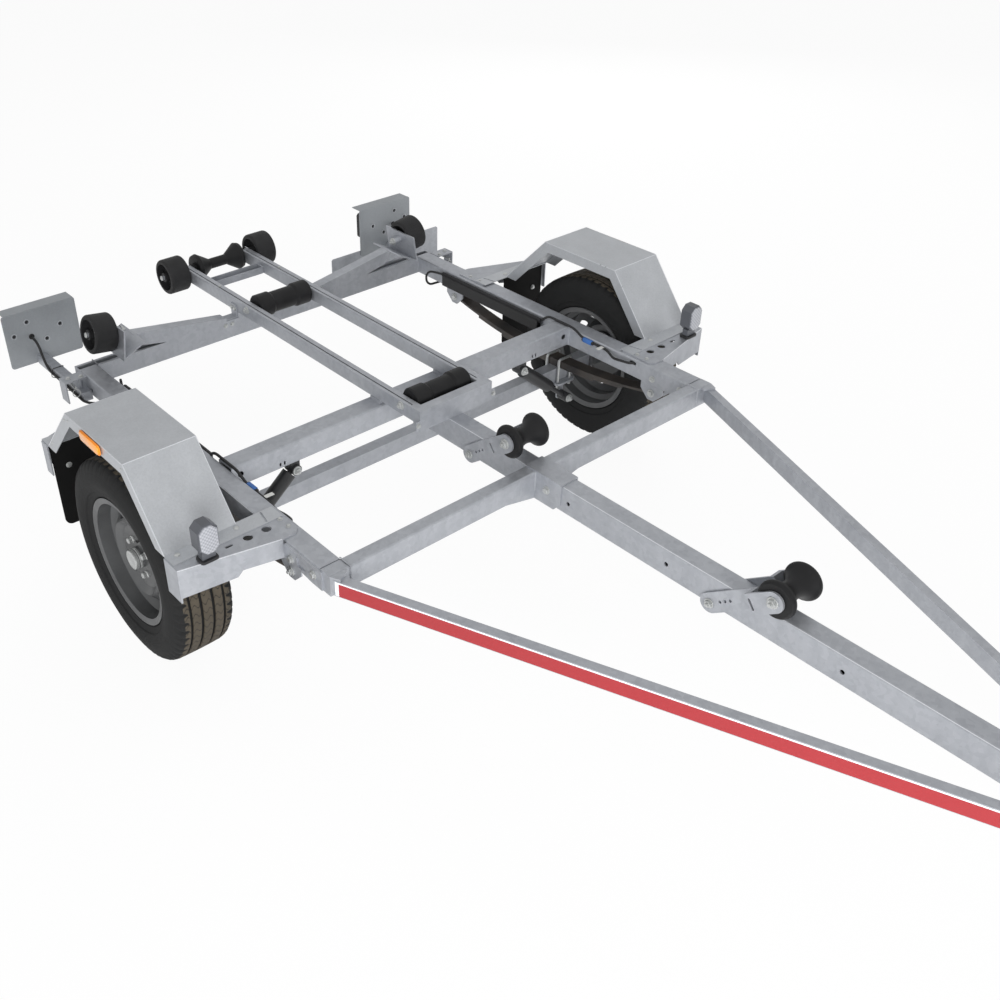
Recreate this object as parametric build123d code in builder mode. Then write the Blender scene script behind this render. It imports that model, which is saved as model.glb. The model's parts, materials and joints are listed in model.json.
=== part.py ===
from build123d import *
import os
from math import atan2, cos, degrees, hypot, radians, sin, sqrt, tan

os.makedirs("parts", exist_ok=True)

# Boat trailer with a central drawbar, keel rollers, a roller cradle and leaf springs.
# -Y is forward, +X is the trailer's own left-hand side and Z is up. Everything is first
# laid out with the axle at y = 0 and the floor at z = 0, in millimetres.
sides = ((-1, "right"), (1, "left"))

# ---------------------------------------------------------------- driving sizes
# wheels: 175/70 R13 tyres on 13 x 5 pressed steel rims
tyre_radius = 288.0
tyre_width = 177.0
tread_width = 132.0
track = 1732.0
rim_seat_radius = 165.0
rim_flange_height = 16.0
rim_width = 146.0
rim_wall = 4.0
rim_well_depth = 14.0

# main frame
tyre_to_rail = 81.5
rail_width = 60.0
frame_rise = 188.0         # from the axle's centre to the frame's top
frame_height = 60.0
tube_wall = 3.0
tube_corner = 5.0
cross_width = 40.0
mid_cross_width = 64.0
mid_cross_raise = 8.0
front_face_y = -584.0
rear_face_y = 742.0
mid_front_y = -64.0

# drawbar and struts
drawbar_width = 54.0
drawbar_height = 78.0
drawbar_front_y = -2620.0
drawbar_wall = 4.0
strut_width = 24.0
strut_height = 45.0
strut_drop = 7.0           # below the frame's top
strut_wall = 2.5
strut_slope = 0.41         # sideways run for each unit forward

# pins and running clearances
pin_radius = 8.0
pin_clearance = 0.3
roller_gap = 1.0           # between a roller's end and what stands beside it
bore = pin_radius + pin_clearance

# ---------------------------------------------------------------- main lines of the frame
wheel_x = track / 2
rail_outer_x = wheel_x - tyre_width / 2 - tyre_to_rail
rail_inner_x = rail_outer_x - rail_width
rail_mid_x = rail_outer_x - rail_width / 2
frame_top = tyre_radius + frame_rise
frame_bottom = frame_top - frame_height
front_back_y = front_face_y + cross_width
rear_front_y = rear_face_y - cross_width
mid_back_y = mid_front_y + mid_cross_width
mid_top = frame_top + mid_cross_raise
drawbar_bottom = frame_top - drawbar_height
half_bar = drawbar_width / 2

pieces = {}


def keep(name, builder):
    """File a finished piece under its node name."""
    builder.part.label = name
    pieces[name] = builder.part


def block(x0, x1, y0, y1, z0, z1, mode=Mode.ADD):
    """A box between two x, two y and two z values, in the builder that is open."""
    with Locations(((x0 + x1) / 2, (y0 + y1) / 2, (z0 + z1) / 2)):
        Box(abs(x1 - x0), abs(y1 - y0), abs(z1 - z0), mode=mode)


def prism(plane, points, amount, mode=Mode.ADD):
    """A closed outline on a plane, extruded."""
    with BuildSketch(plane) as outline:
        with BuildLine() as edge:
            Polyline(*points, close=True)
        make_face(edge.line)
    extrude(outline.sketch, amount=amount, mode=mode)


def rod(start, end, radius, mode=Mode.ADD):
    """A round bar between two points."""
    a, b = Vector(*start), Vector(*end)
    with BuildSketch(Plane(origin=a, z_dir=b - a)) as section:
        Circle(radius)
    extrude(section.sketch, amount=(b - a).length, mode=mode)


def across(y, z, x0, x1, radius, mode=Mode.ADD):
    """A round bar or hole along X."""
    rod((x0, y, z), (x1, y, z), radius, mode)


def box_tube(plane, width, height, wall, length, corner=tube_corner):
    """A rectangular tube with rolled outer corners, centred on the plane's origin."""
    with BuildSketch(plane) as section:
        RectangleRounded(width, height, corner)
        Rectangle(width - 2 * wall, height - 2 * wall, mode=Mode.SUBTRACT)
    extrude(section.sketch, amount=length)


def turned(centre, profile, inner, direction=(1, 0, 0)):
    """A solid turned about an axis from (distance along it, radius) points, with a bore."""
    ends = [(profile[0][0], inner), (profile[-1][0], inner)] if profile[0][1] > inner else []
    points = ends[:1] + list(profile) + ends[1:]
    with BuildSketch(Plane(origin=centre, x_dir=direction, z_dir=(0, -1, 0))) as section:
        with BuildLine() as edge:
            Polyline(*points, close=True)
        make_face(edge.line)
    revolve(section.sketch, axis=Axis(centre, direction))


def round_rims(builder, rim_radius, amount):
    """Round the circular edges of a turned solid that have the given radius."""
    rims = [e for e in builder.edges().filter_by(GeomType.CIRCLE) if abs(e.radius - rim_radius) < 0.01]
    fillet(rims, radius=amount)


def round_holes(plane, places, radius, depth):
    """Round holes at places on a plane, cut to both sides of it."""
    with BuildSketch(plane) as holes:
        with Locations(*places):
            Circle(radius)
    extrude(holes.sketch, amount=depth, both=True, mode=Mode.SUBTRACT)


def slot_holes(plane, places, length, width, depth, turn=0.0):
    """Oblong holes at places on a plane, cut to both sides of it."""
    with BuildSketch(plane) as slots:
        with Locations(*places):
            SlotOverall(length, width, rotation=turn)
    extrude(slots.sketch, amount=depth, both=True, mode=Mode.SUBTRACT)


def rounded_plate(plane, place, width, height, corner, amount, mode=Mode.ADD):
    """A plate or window with rounded corners, centred at a place on a plane."""
    with BuildSketch(plane) as plate:
        with Locations(place):
            RectangleRounded(width, height, corner)
    extrude(plate.sketch, amount=amount, mode=mode)


def inset(path, depth):
    """A path moved sideways by depth, with mitred corners; a positive depth is to the right of its run."""
    moved = []
    for i, (u, v) in enumerate(path):
        normals = []
        for start, end in ((i - 1, i), (i, i + 1)):
            if 0 <= start and end < len(path):
                du, dv = path[end][0] - path[start][0], path[end][1] - path[start][1]
                normals.append((dv / hypot(du, dv), -du / hypot(du, dv)))
        nu, nv = normals[0][0] + normals[-1][0], normals[0][1] + normals[-1][1]
        scale = depth / (nu * normals[0][0] + nv * normals[0][1])
        moved.append((u + nu * scale, v + nv * scale))
    return moved


def mirrored(points, side):
    """Outline points with their first coordinate on the given side."""
    return [(side * u, v) for u, v in points]


# ---------------------------------------------------------------- side rails
rail_hole_y = (-520.0, 180.0, 640.0)
rail_hole_radius = 7.0
rail_pass_y = -335.0       # where the cable passes through the rail
rail_pass_drop = 13.0
rail_pass_slot = (26.0, 11.0)
for side, name in sides:
    rail_plane = Plane(origin=(side * rail_mid_x, rear_front_y, (frame_top + frame_bottom) / 2),
                       x_dir=(1, 0, 0), z_dir=(0, -1, 0))
    with BuildPart() as side_rail:
        box_tube(rail_plane, rail_width, frame_height, tube_wall, rear_front_y - front_back_y)
        # drain and fixing holes in the outer wall
        hole_places = [(y, frame_bottom + frame_height / 3) for y in rail_hole_y]
        round_holes(Plane.YZ.offset(side * rail_outer_x), hole_places, rail_hole_radius, tube_wall + 1)
        # slot and hole that let the cable through to the position lamp
        pass_z = frame_top - rail_pass_drop
        inner_face = Plane.YZ.offset(side * rail_inner_x)
        slot_holes(inner_face, [(rail_pass_y, pass_z)], *rail_pass_slot, tube_wall + 1)
        round_holes(Plane.YZ.offset(side * rail_outer_x), [(rail_pass_y - 9, pass_z)], 6, tube_wall + 1)
    keep(f"side_rail_{name}", side_rail)

# plates that stiffen the rails' outer faces where the front spring bolts pass through
spring_plate_y = (-556.0, -400.0)
spring_plate_wall = 5.0
spring_plate_height = 54.0
spring_plate_window = (34.0, 28.0)
window_y = -470.0
with BuildPart() as spring_plates:
    for side, name in sides:
        plate_low = frame_bottom + 2.0
        plate_top = plate_low + spring_plate_height
        x0 = side * rail_outer_x
        prism(Plane.YZ.offset(x0), [
            (spring_plate_y[0], plate_low), (spring_plate_y[0] + 40, plate_low),
            (spring_plate_y[1], plate_low + 12), (spring_plate_y[1], plate_top - 8),
            (spring_plate_y[1] - 8, plate_top), (spring_plate_y[0], plate_top)], side * spring_plate_wall)
        rounded_plate(Plane.YZ.offset(x0), (window_y, plate_low + spring_plate_height / 2),
                      *spring_plate_window, 6, side * (spring_plate_wall + 1), Mode.SUBTRACT)
keep("spring_plates", spring_plates)

# ---------------------------------------------------------------- front crossmember and sleeve
sleeve_wall = 4.0
sleeve_clearance = 0.3
sleeve_nose = 92.0         # how far the sleeve reaches ahead of the crossmember
flare_length = 105.0       # run of the crossmember's lower edge down to the sleeve
sleeve_in = half_bar + sleeve_clearance
sleeve_out = sleeve_in + sleeve_wall
sleeve_top = frame_top + sleeve_clearance
sleeve_bottom = drawbar_bottom - sleeve_clearance
cheek_corner = 22.0        # cut at the lower front corner of the sleeve's cheeks
with BuildPart() as front_crossmember:
    front_outline = [
        (-rail_outer_x, frame_top), (-rail_outer_x, frame_bottom),
        (-sleeve_out - flare_length, frame_bottom), (-sleeve_out, sleeve_bottom - sleeve_wall),
        (sleeve_out, sleeve_bottom - sleeve_wall), (sleeve_out + flare_length, frame_bottom),
        (rail_outer_x, frame_bottom), (rail_outer_x, frame_top)]
    prism(Plane.XZ.offset(-front_back_y), front_outline, cross_width)
    top_edges = front_crossmember.edges().filter_by(Axis.X).group_by(Axis.Z)[-1]
    fillet(top_edges, radius=tube_corner)
    # the hollow of each half, open at the bottom where it flares
    for side, name in sides:
        block(side * sleeve_out, side * (rail_outer_x - tube_wall), front_face_y + tube_wall,
              front_back_y - tube_wall, frame_bottom + tube_wall, frame_top - tube_wall, Mode.SUBTRACT)
    # the sleeve: a folded channel over the drawbar, reaching forward along its sides
    sleeve_front_y = front_face_y - sleeve_nose
    cheek_low = sleeve_bottom - sleeve_wall
    cheek_high = sleeve_top + sleeve_wall
    prism(Plane.YZ.offset(-sleeve_out), [
        (front_back_y, cheek_high), (sleeve_front_y, cheek_high), (sleeve_front_y, sleeve_bottom + cheek_corner),
        (sleeve_front_y + cheek_corner, cheek_low), (front_back_y, cheek_low)], 2 * sleeve_out)
    block(-sleeve_in, sleeve_in, sleeve_front_y, front_back_y, sleeve_bottom, sleeve_top, Mode.SUBTRACT)
    block(-sleeve_in, sleeve_in, sleeve_front_y, front_face_y - cheek_corner, sleeve_bottom - sleeve_wall,
          sleeve_bottom, Mode.SUBTRACT)
keep("front_crossmember", front_crossmember)

# ---------------------------------------------------------------- middle and rear crossmembers
end_hole_radius = 9.0
end_hole_inset = 26.0      # from the rail to the wiring hole near each end
slot_pair = (150.0, 164.0)
with BuildPart() as mid_crossmember:
    mid_height = frame_height + mid_cross_raise - 2.0
    box_tube(Plane(origin=(-rail_inner_x, (mid_front_y + mid_back_y) / 2, mid_top - mid_height / 2),
                   x_dir=(0, 1, 0), z_dir=(1, 0, 0)),
             mid_cross_width, mid_height, tube_wall, 2 * rail_inner_x)
    for side, name in sides:
        hole_x = side * (rail_inner_x - end_hole_inset)
        front_plane = Plane.XZ.offset(-mid_front_y)
        round_holes(front_plane, [(hole_x, mid_top - mid_height / 2 + 4)], end_hole_radius, tube_wall + 1)
        slot_places = [(side * (rail_inner_x - from_rail), frame_bottom + 16) for from_rail in slot_pair]
        slot_holes(front_plane, slot_places, 12, 6, tube_wall + 1, 90)
keep("mid_crossmember", mid_crossmember)

lip = 10.0                 # turned-in edges of the rear channel
with BuildPart() as rear_crossmember:
    # an open-topped channel with turned-in edges
    under_lip = frame_top - tube_wall
    on_floor = frame_bottom + tube_wall
    channel = [
        (rear_front_y, frame_top), (rear_front_y, frame_bottom), (rear_face_y, frame_bottom),
        (rear_face_y, frame_top), (rear_face_y - lip, frame_top), (rear_face_y - lip, under_lip),
        (rear_face_y - tube_wall, under_lip), (rear_face_y - tube_wall, on_floor),
        (rear_front_y + tube_wall, on_floor), (rear_front_y + tube_wall, under_lip),
        (rear_front_y + lip, under_lip), (rear_front_y + lip, frame_top)]
    prism(Plane.YZ.offset(-rail_outer_x), channel, 2 * rail_outer_x)
    for side, name in sides:
        # closed ends
        block(side * rail_outer_x, side * (rail_outer_x - tube_wall), rear_front_y, rear_face_y,
              frame_bottom, frame_top)
keep("rear_crossmember", rear_crossmember)

# ---------------------------------------------------------------- drawbar
strut_top = frame_top - strut_drop
strut_run_x = strut_width * sqrt(1 + strut_slope ** 2)
strut_outer_x = rail_outer_x
strut_inner_x = strut_outer_x - strut_run_x
junction_inner_y = front_face_y - (strut_inner_x - half_bar) / strut_slope
junction_outer_y = front_face_y - (strut_outer_x - half_bar) / strut_slope
lug_wall = 6.0
lug_length = 190.0
lug_fullness = 0.7         # share of the strut's splay that the welded lugs cover
bar_hole_y = (-1023.0, -700.0, -1500.0)
bar_hole_radius = 6.0
bar_hole_drop = 42.0
with BuildPart() as drawbar:
    bar_plane = Plane(origin=(0, mid_front_y, (frame_top + drawbar_bottom) / 2), x_dir=(1, 0, 0),
                      z_dir=(0, -1, 0))
    box_tube(bar_plane, drawbar_width, drawbar_height, drawbar_wall, mid_front_y - drawbar_front_y)
    hole_places = [(y, frame_top - bar_hole_drop) for y in bar_hole_y]
    round_holes(Plane.YZ, hole_places, bar_hole_radius, drawbar_width)
    # welded lugs that take the two struts
    for side, name in sides:
        for lug_z in (strut_top, strut_top - strut_height - lug_wall):
            prism(Plane.XY.offset(lug_z), [
                (side * half_bar, junction_outer_y), (side * half_bar, junction_inner_y + lug_length),
                (side * (half_bar + lug_length * strut_slope * lug_fullness), junction_inner_y + lug_length)],
                lug_wall)
keep("drawbar", drawbar)

# ---------------------------------------------------------------- struts
lug_top_length = 44.0
lug_top_depth = 26.0
for side, name in sides:
    with BuildPart() as strut:
        outline = [(side * strut_inner_x, front_face_y), (side * strut_outer_x, front_face_y),
                   (side * half_bar, junction_outer_y), (side * half_bar, junction_inner_y)]
        prism(Plane.XY.offset(strut_top - strut_height), outline, strut_height)
        wall_x = strut_wall * sqrt(1 + strut_slope ** 2)
        wall_y = wall_x / strut_slope
        core = [(side * (strut_inner_x + wall_x), front_face_y),
                (side * (strut_outer_x - wall_x), front_face_y),
                (side * half_bar, junction_outer_y + wall_y), (side * half_bar, junction_inner_y - wall_y)]
        prism(Plane.XY.offset(strut_top - strut_height + strut_wall), core,
              strut_height - 2 * strut_wall, Mode.SUBTRACT)
        # bent tab that ties the strut's end to the crossmember
        tab_x = side * (strut_outer_x - lug_top_length)
        prism(Plane.XY.offset(strut_top), [
            (side * strut_outer_x, front_face_y), (tab_x, front_face_y), (tab_x, front_face_y - 8),
            (side * (strut_outer_x - 12), front_face_y - lug_top_depth)], strut_drop)
    keep(f"strut_{name}", strut)

# ---------------------------------------------------------------- ball coupling
coupling_shank = 150.0
coupling_length = 190.0
coupling_width = 60.0
coupling_height = 58.0
coupling_seat = 20.0
ball_radius = 25.0
ball_gap = 0.4
ball_depth = 27.0
ball_inset = 42.0
shank_width = 50.0
head_cheek = 8.0
head_neck = 24.0
head_nose = (40.0, 18.0)   # ahead of the ball; half width
head_chamfer = 6.0
handle_width = 22.0
coupling_ball_y = drawbar_front_y - coupling_length + ball_inset
shank_z = frame_top + shank_width / 2
with BuildPart() as coupling_head:
    wide = coupling_width / 2 + head_cheek
    nose_y = coupling_ball_y - head_nose[0]
    prism(Plane.XY.offset(frame_top), [
        (-head_nose[1], nose_y), (-wide, coupling_ball_y), (-head_neck, drawbar_front_y),
        (head_neck, drawbar_front_y), (wide, coupling_ball_y), (head_nose[1], nose_y)], coupling_height)
    chamfer(coupling_head.faces().sort_by(Axis.Z)[-1].edges(), length=head_chamfer)
    rod((0, drawbar_front_y + coupling_shank, shank_z), (0, drawbar_front_y - 60, shank_z), shank_width / 2)
    block(-half_bar, half_bar, drawbar_front_y + 4, drawbar_front_y + coupling_shank, frame_top,
          frame_top + coupling_seat)
    # closing handle over the head
    head_top = frame_top + coupling_height
    prism(Plane.YZ.offset(-handle_width / 2), [
        (coupling_ball_y + 24, head_top - 1), (drawbar_front_y - 20, head_top + 26),
        (drawbar_front_y + 90, head_top + 30), (drawbar_front_y + 90, head_top + 42),
        (drawbar_front_y - 30, head_top + 40), (coupling_ball_y - 14, head_top - 1)], handle_width)
    with Locations((0, coupling_ball_y, frame_top)):
        Cylinder(ball_radius + ball_gap, 2 * ball_depth, mode=Mode.SUBTRACT)
    with Locations((0, coupling_ball_y, frame_top + ball_depth)):
        Sphere(ball_radius + ball_gap, mode=Mode.SUBTRACT)
keep("coupling_head", coupling_head)

# ---------------------------------------------------------------- winch post
post_y = -2290.0
post_size = 50.0
post_wall = 4.0
post_height = 330.0
post_base = 8.0
post_foot = 70.0
post_foot_edge = 14.0
winch_z = 250.0
cheek_gap = 84.0
cheek_wall = 4.0
cheek_length = 110.0
cheek_half = 55.0
winch_shaft_ahead = 58.0
stop_arm_length = 60.0
stop_arm_depth = 40.0
stop_arm_drop = 5.0
post_front_y = post_y - post_size / 2
post_back_y = post_y + post_size / 2
shaft_y = post_front_y - winch_shaft_ahead
winch_centre_z = frame_top + winch_z
post_top = frame_top + post_height
with BuildPart() as winch_post:
    post_plane = Plane(origin=(0, post_y, frame_top))
    box_tube(post_plane, post_size, post_size, post_wall, post_height)
    block(-post_size / 2 + 1, post_size / 2 - 1, post_front_y + 1, post_back_y - 1,
          post_top - post_wall, post_top)
    block(-half_bar - post_foot_edge, half_bar + post_foot_edge, post_y - post_foot, post_y + post_foot,
          frame_top, frame_top + post_base)
    # winch cheeks on the front of the post
    for side, name in sides:
        prism(Plane.YZ.offset(side * cheek_gap / 2), [
            (post_front_y, winch_centre_z - cheek_half), (post_front_y, winch_centre_z + cheek_half),
            (post_front_y - cheek_length * 0.7, winch_centre_z + cheek_half),
            (post_front_y - cheek_length, winch_centre_z + cheek_half * 0.3),
            (post_front_y - cheek_length, winch_centre_z - cheek_half * 0.4),
            (post_front_y - cheek_length * 0.6, winch_centre_z - cheek_half)], side * cheek_wall)
    block(-cheek_gap / 2 - cheek_wall, cheek_gap / 2 + cheek_wall, post_front_y - cheek_wall, post_front_y,
          winch_centre_z - cheek_half, winch_centre_z + cheek_half)
    cheek_outer = cheek_gap / 2 + cheek_wall
    across(shaft_y, winch_centre_z, -cheek_outer, cheek_outer, bore, Mode.SUBTRACT)
    # arm that carries the bow stop
    block(-post_size / 2, post_size / 2, post_back_y, post_back_y + stop_arm_length,
          post_top - stop_arm_drop - stop_arm_depth, post_top - stop_arm_drop)
keep("winch_post", winch_post)

stop_half_width = 35.0
stop_reach = 55.0
stop_notch = 22.0
stop_rise = 25.0
stop_low = 75.0
stop_splay = 15.0
with BuildPart() as bow_stop:
    stop_y = post_back_y + stop_arm_length
    stop_bottom = post_top - stop_low
    prism(Plane.YZ.offset(-stop_half_width), [
        (stop_y, stop_bottom), (stop_y + stop_reach, stop_bottom - stop_splay),
        (stop_y + stop_notch, post_top - stop_rise), (stop_y + stop_reach, post_top + stop_rise + stop_splay),
        (stop_y, post_top + stop_rise)], 2 * stop_half_width)
keep("bow_stop", bow_stop)

drum_radius = 22.0
drum_flange_radius = 46.0
drum_flange_wall = 4.0
drum_gap = 5.0
crank_gap = 22.0
crank_wall = 6.0
crank_width = 24.0
crank_length = 152.0
crank_grip = 90.0
crank_grip_radius = 11.0
with BuildPart() as winch_drum:
    drum_half = cheek_gap / 2 - drum_gap
    across(shaft_y, winch_centre_z, -drum_half, drum_half, drum_radius)
    for side, name in sides:
        across(shaft_y, winch_centre_z, side * drum_half, side * (drum_half - drum_flange_wall),
               drum_flange_radius)
    crank_x = cheek_gap / 2 + cheek_wall + crank_gap
    across(shaft_y, winch_centre_z, -crank_x, cheek_gap / 2 + cheek_wall + pin_radius, pin_radius)
    block(-crank_x, -crank_x + crank_wall, shaft_y - crank_width / 2, shaft_y + crank_width / 2,
          winch_centre_z - crank_width / 2, winch_centre_z + crank_length + crank_width / 2)
    across(shaft_y, winch_centre_z + crank_length, -crank_x - crank_grip, -crank_x + crank_wall,
           crank_grip_radius)
keep("winch_drum", winch_drum)

# ---------------------------------------------------------------- axle
axle_depth = 40.0
axle_height = 50.0
axle_wall = 5.0
axle_plug = 30.0           # solid end of the beam round each stub
disc_offset = 28.0         # from the rim's middle out to the disc's mounting face
hub_length = 96.0
stub_radius = 15.0
stub_clearance = 0.3
stub_reach = 22.0
damper_y = -46.0
damper_eye_half = 20.0
damper_head = (436.0, 84.0)    # from the middle line; below the frame's top
damper_foot = (655.0, 76.0)    # from the middle line; below the axle's centre
foot_lug = (30.0, 12.0, 8.0, 14.0)
axle_top = tyre_radius + axle_height / 2
axle_bottom = tyre_radius - axle_height / 2
axle_half = wheel_x + disc_offset - hub_length - 2
damper_foot_z = tyre_radius - damper_foot[1]
with BuildPart() as axle_beam:
    block(-axle_half, axle_half, -axle_depth / 2, axle_depth / 2, axle_bottom, axle_top)
    core_x, core_y = axle_half - axle_plug, axle_depth / 2 - axle_wall
    block(-core_x, core_x, -core_y, core_y, axle_bottom + axle_wall, axle_top - axle_wall, Mode.SUBTRACT)
    for side, name in sides:
        across(0, tyre_radius, side * axle_half, side * (wheel_x + disc_offset + stub_reach), stub_radius)
        # lug that takes the damper's foot, below and ahead of the beam
        half_plate, half_lug, lug_plate, lug_below = foot_lug
        lug_x = side * damper_foot[0]
        lug_y = damper_y + damper_eye_half
        block(lug_x - half_plate, lug_x + half_plate, lug_y, axle_depth / 2, axle_bottom - lug_plate,
              axle_bottom)
        block(lug_x - half_lug, lug_x + half_lug, lug_y, lug_y + lug_plate, damper_foot_z - lug_below,
              axle_bottom - lug_plate)
keep("axle_beam", axle_beam)

# ---------------------------------------------------------------- leaf springs
leaf_width = 45.0
leaf_thickness = 8.0
spring_front_y = -414.0
spring_rear_y = 500.0
spring_end_drop = 28.0     # below the rails
seat_height = 3.0
eye_radius = 16.0
# share of the main leaf's half length, place in the pack
leaf_rows = ((1.0, 0), (0.72, 1), (0.46, 2))
spring_x = rail_mid_x
spring_end_z = frame_bottom - spring_end_drop
pack_bottom = axle_top + seat_height - 2
spring_low_z = pack_bottom + 2 + (len(leaf_rows) - 1) * leaf_thickness + leaf_thickness / 2 - 2
# the pack is bent about one centre above it
chord_mid_y = (spring_front_y + spring_rear_y) / 2
chord_half = (spring_rear_y - spring_front_y) / 2
sagitta = spring_end_z - spring_low_z
leaf_radius = (chord_half ** 2 + sagitta ** 2) / (2 * sagitta)
leaf_centre_z = spring_low_z + leaf_radius
full_angle = atan2(chord_half, leaf_radius - sagitta)


def leaf_point(angle, radius):
    """A point of a leaf's edge, by its angle from the lowest point."""
    return (chord_mid_y + radius * sin(angle), leaf_centre_z - radius * cos(angle))


def leaf(x, angle, r_in, r_out):
    """One leaf between two radii, over the given half angle."""
    with BuildSketch(Plane.YZ.offset(x)) as leaf_face:
        with BuildLine() as leaf_line:
            ThreePointArc(leaf_point(-angle, r_in), leaf_point(0, r_in), leaf_point(angle, r_in))
            Line(leaf_point(angle, r_in), leaf_point(angle, r_out))
            ThreePointArc(leaf_point(angle, r_out), leaf_point(0, r_out), leaf_point(-angle, r_out))
            Line(leaf_point(-angle, r_out), leaf_point(-angle, r_in))
        make_face(leaf_line.line)
    extrude(leaf_face.sketch, amount=leaf_width)


for side, name in sides:
    with BuildPart() as leaf_spring:
        low_x = side * spring_x - leaf_width / 2
        for share, place in leaf_rows:
            r_in = leaf_radius - leaf_thickness / 2 + place * leaf_thickness
            leaf(low_x, full_angle * share, r_in, r_in + leaf_thickness)
        across(spring_front_y, spring_end_z, low_x, low_x + leaf_width, eye_radius)
        # seat between the pack and the axle
        block(low_x, low_x + leaf_width, -axle_depth / 2, axle_depth / 2, axle_top,
              pack_bottom + leaf_thickness)
    keep(f"leaf_spring_{name}", leaf_spring)

# channel hangers that hold the ends of the leaf springs under the rails
hanger_length = 84.0
hanger_clearance = 0.3
hanger_drop = 24.0
hanger_wall = 4.0
hanger_cut = 30.0          # slant at the hangers' lower corners
with BuildPart() as spring_hangers:
    cheek_in = leaf_width / 2 + hanger_clearance
    cheek_out = cheek_in + hanger_wall
    for side, name in sides:
        for hanger_y in (spring_front_y, spring_rear_y):
            front_y, back_y = hanger_y - hanger_length / 2, hanger_y + hanger_length / 2
            low_z = spring_end_z - hanger_drop
            prism(Plane.YZ.offset(side * spring_x - cheek_out), [
                (front_y, frame_bottom), (back_y, frame_bottom), (back_y, low_z + hanger_cut),
                (back_y - hanger_cut, low_z), (front_y + hanger_cut, low_z), (front_y, low_z + hanger_cut)],
                2 * cheek_out)
            block(side * spring_x - cheek_in, side * spring_x + cheek_in, front_y, back_y, low_z,
                  frame_bottom - hanger_wall, Mode.SUBTRACT)
keep("spring_hangers", spring_hangers)

# ---------------------------------------------------------------- dampers
damper_radius = 21.0
damper_rod_radius = 8.0
damper_eye_radius = 16.0
damper_collar = 18.0
damper_body_share = 0.62
damper_strap = 14.0
damper_head_z = frame_top - damper_head[1]
with BuildPart() as dampers:
    for side, name in sides:
        head = Vector(side * damper_head[0], damper_y, damper_head_z)
        foot = Vector(side * damper_foot[0], damper_y, damper_foot_z)
        along = (foot - head).normalized()
        length = (foot - head).length
        body_end = head + along * (length * damper_body_share)
        rod(tuple(head + along * damper_collar), tuple(body_end), damper_radius)
        rod(tuple(head), tuple(foot), damper_rod_radius)
        for end in (head, foot):
            eye_start, eye_end = (end.X, end.Y - damper_eye_half, end.Z), (end.X, end.Y + damper_eye_half, end.Z)
            rod(eye_start, eye_end, damper_eye_radius)
        # strap up to the crossmember
        strap_top = mid_top - (frame_height + mid_cross_raise - 2.0)
        block(head.X - damper_strap, head.X + damper_strap, damper_y - damper_strap, damper_y + damper_strap,
              head.Z, strap_top)
keep("dampers", dampers)

# ---------------------------------------------------------------- mudguards
guard_sheet = 2.0
guard_over_tyre = 90.0
guard_front_y = -128.0
guard_rear_y = 179.0
guard_front_foot_y = -277.0
guard_rear_foot_y = 357.0
strip_front_y = -322.0
strip_rear_y = 402.0
guard_skirt = 34.0
guard_extra = 21.0         # wider than the tyre
guard_shift = 12.0         # inboard of the wheel's middle
strip_inner_x = rail_inner_x + 12
strip_slot = (46.0, 5.0)
strip_slot_inset = 8.0
strip_slot_turn = 12.0
strip_lap = 6.0            # the strips run on under the arch's feet
bracket_sheet = 4.0
guard_width = tyre_width + guard_extra
guard_inner_x = wheel_x - guard_shift - guard_width / 2
guard_outer_x = guard_inner_x + guard_width
guard_top = 2 * tyre_radius + guard_over_tyre
shelf_top = frame_top + bracket_sheet
strip_top = shelf_top + guard_sheet
arch = [(guard_front_foot_y, strip_top), (guard_front_y, guard_top), (guard_rear_y, guard_top),
        (guard_rear_foot_y, strip_top)]
for side, name in sides:
    with BuildPart() as mudguard:
        low_x = min(side * guard_inner_x, side * guard_outer_x)
        prism(Plane.YZ.offset(low_x), arch + inset(arch, guard_skirt)[::-1], guard_width)
        inside = inset(arch, guard_sheet) + inset(arch, guard_skirt + 1)[::-1]
        prism(Plane.YZ.offset(low_x + guard_sheet), inside, guard_width - 2 * guard_sheet, Mode.SUBTRACT)
        block(low_x, low_x + guard_width, strip_front_y, strip_rear_y, shelf_top - guard_skirt, shelf_top,
              Mode.SUBTRACT)
        # flat strips at both feet, carried inward over the rails
        strips = ((strip_front_y, guard_front_foot_y + strip_lap), (guard_rear_foot_y - strip_lap, strip_rear_y))
        for strip_start, strip_end in strips:
            block(side * strip_inner_x, side * guard_outer_x, strip_start, strip_end, shelf_top, strip_top)
            # narrow slots in the strips, over the rails' outer edges
            slot_place = (side * (rail_outer_x - strip_slot_inset), (strip_start + strip_end) / 2)
            slot_holes(Plane.XY.offset(strip_top), [slot_place], *strip_slot, 2 * guard_sheet,
                       90 + side * strip_slot_turn)
    keep(f"mudguard_{name}", mudguard)

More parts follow.
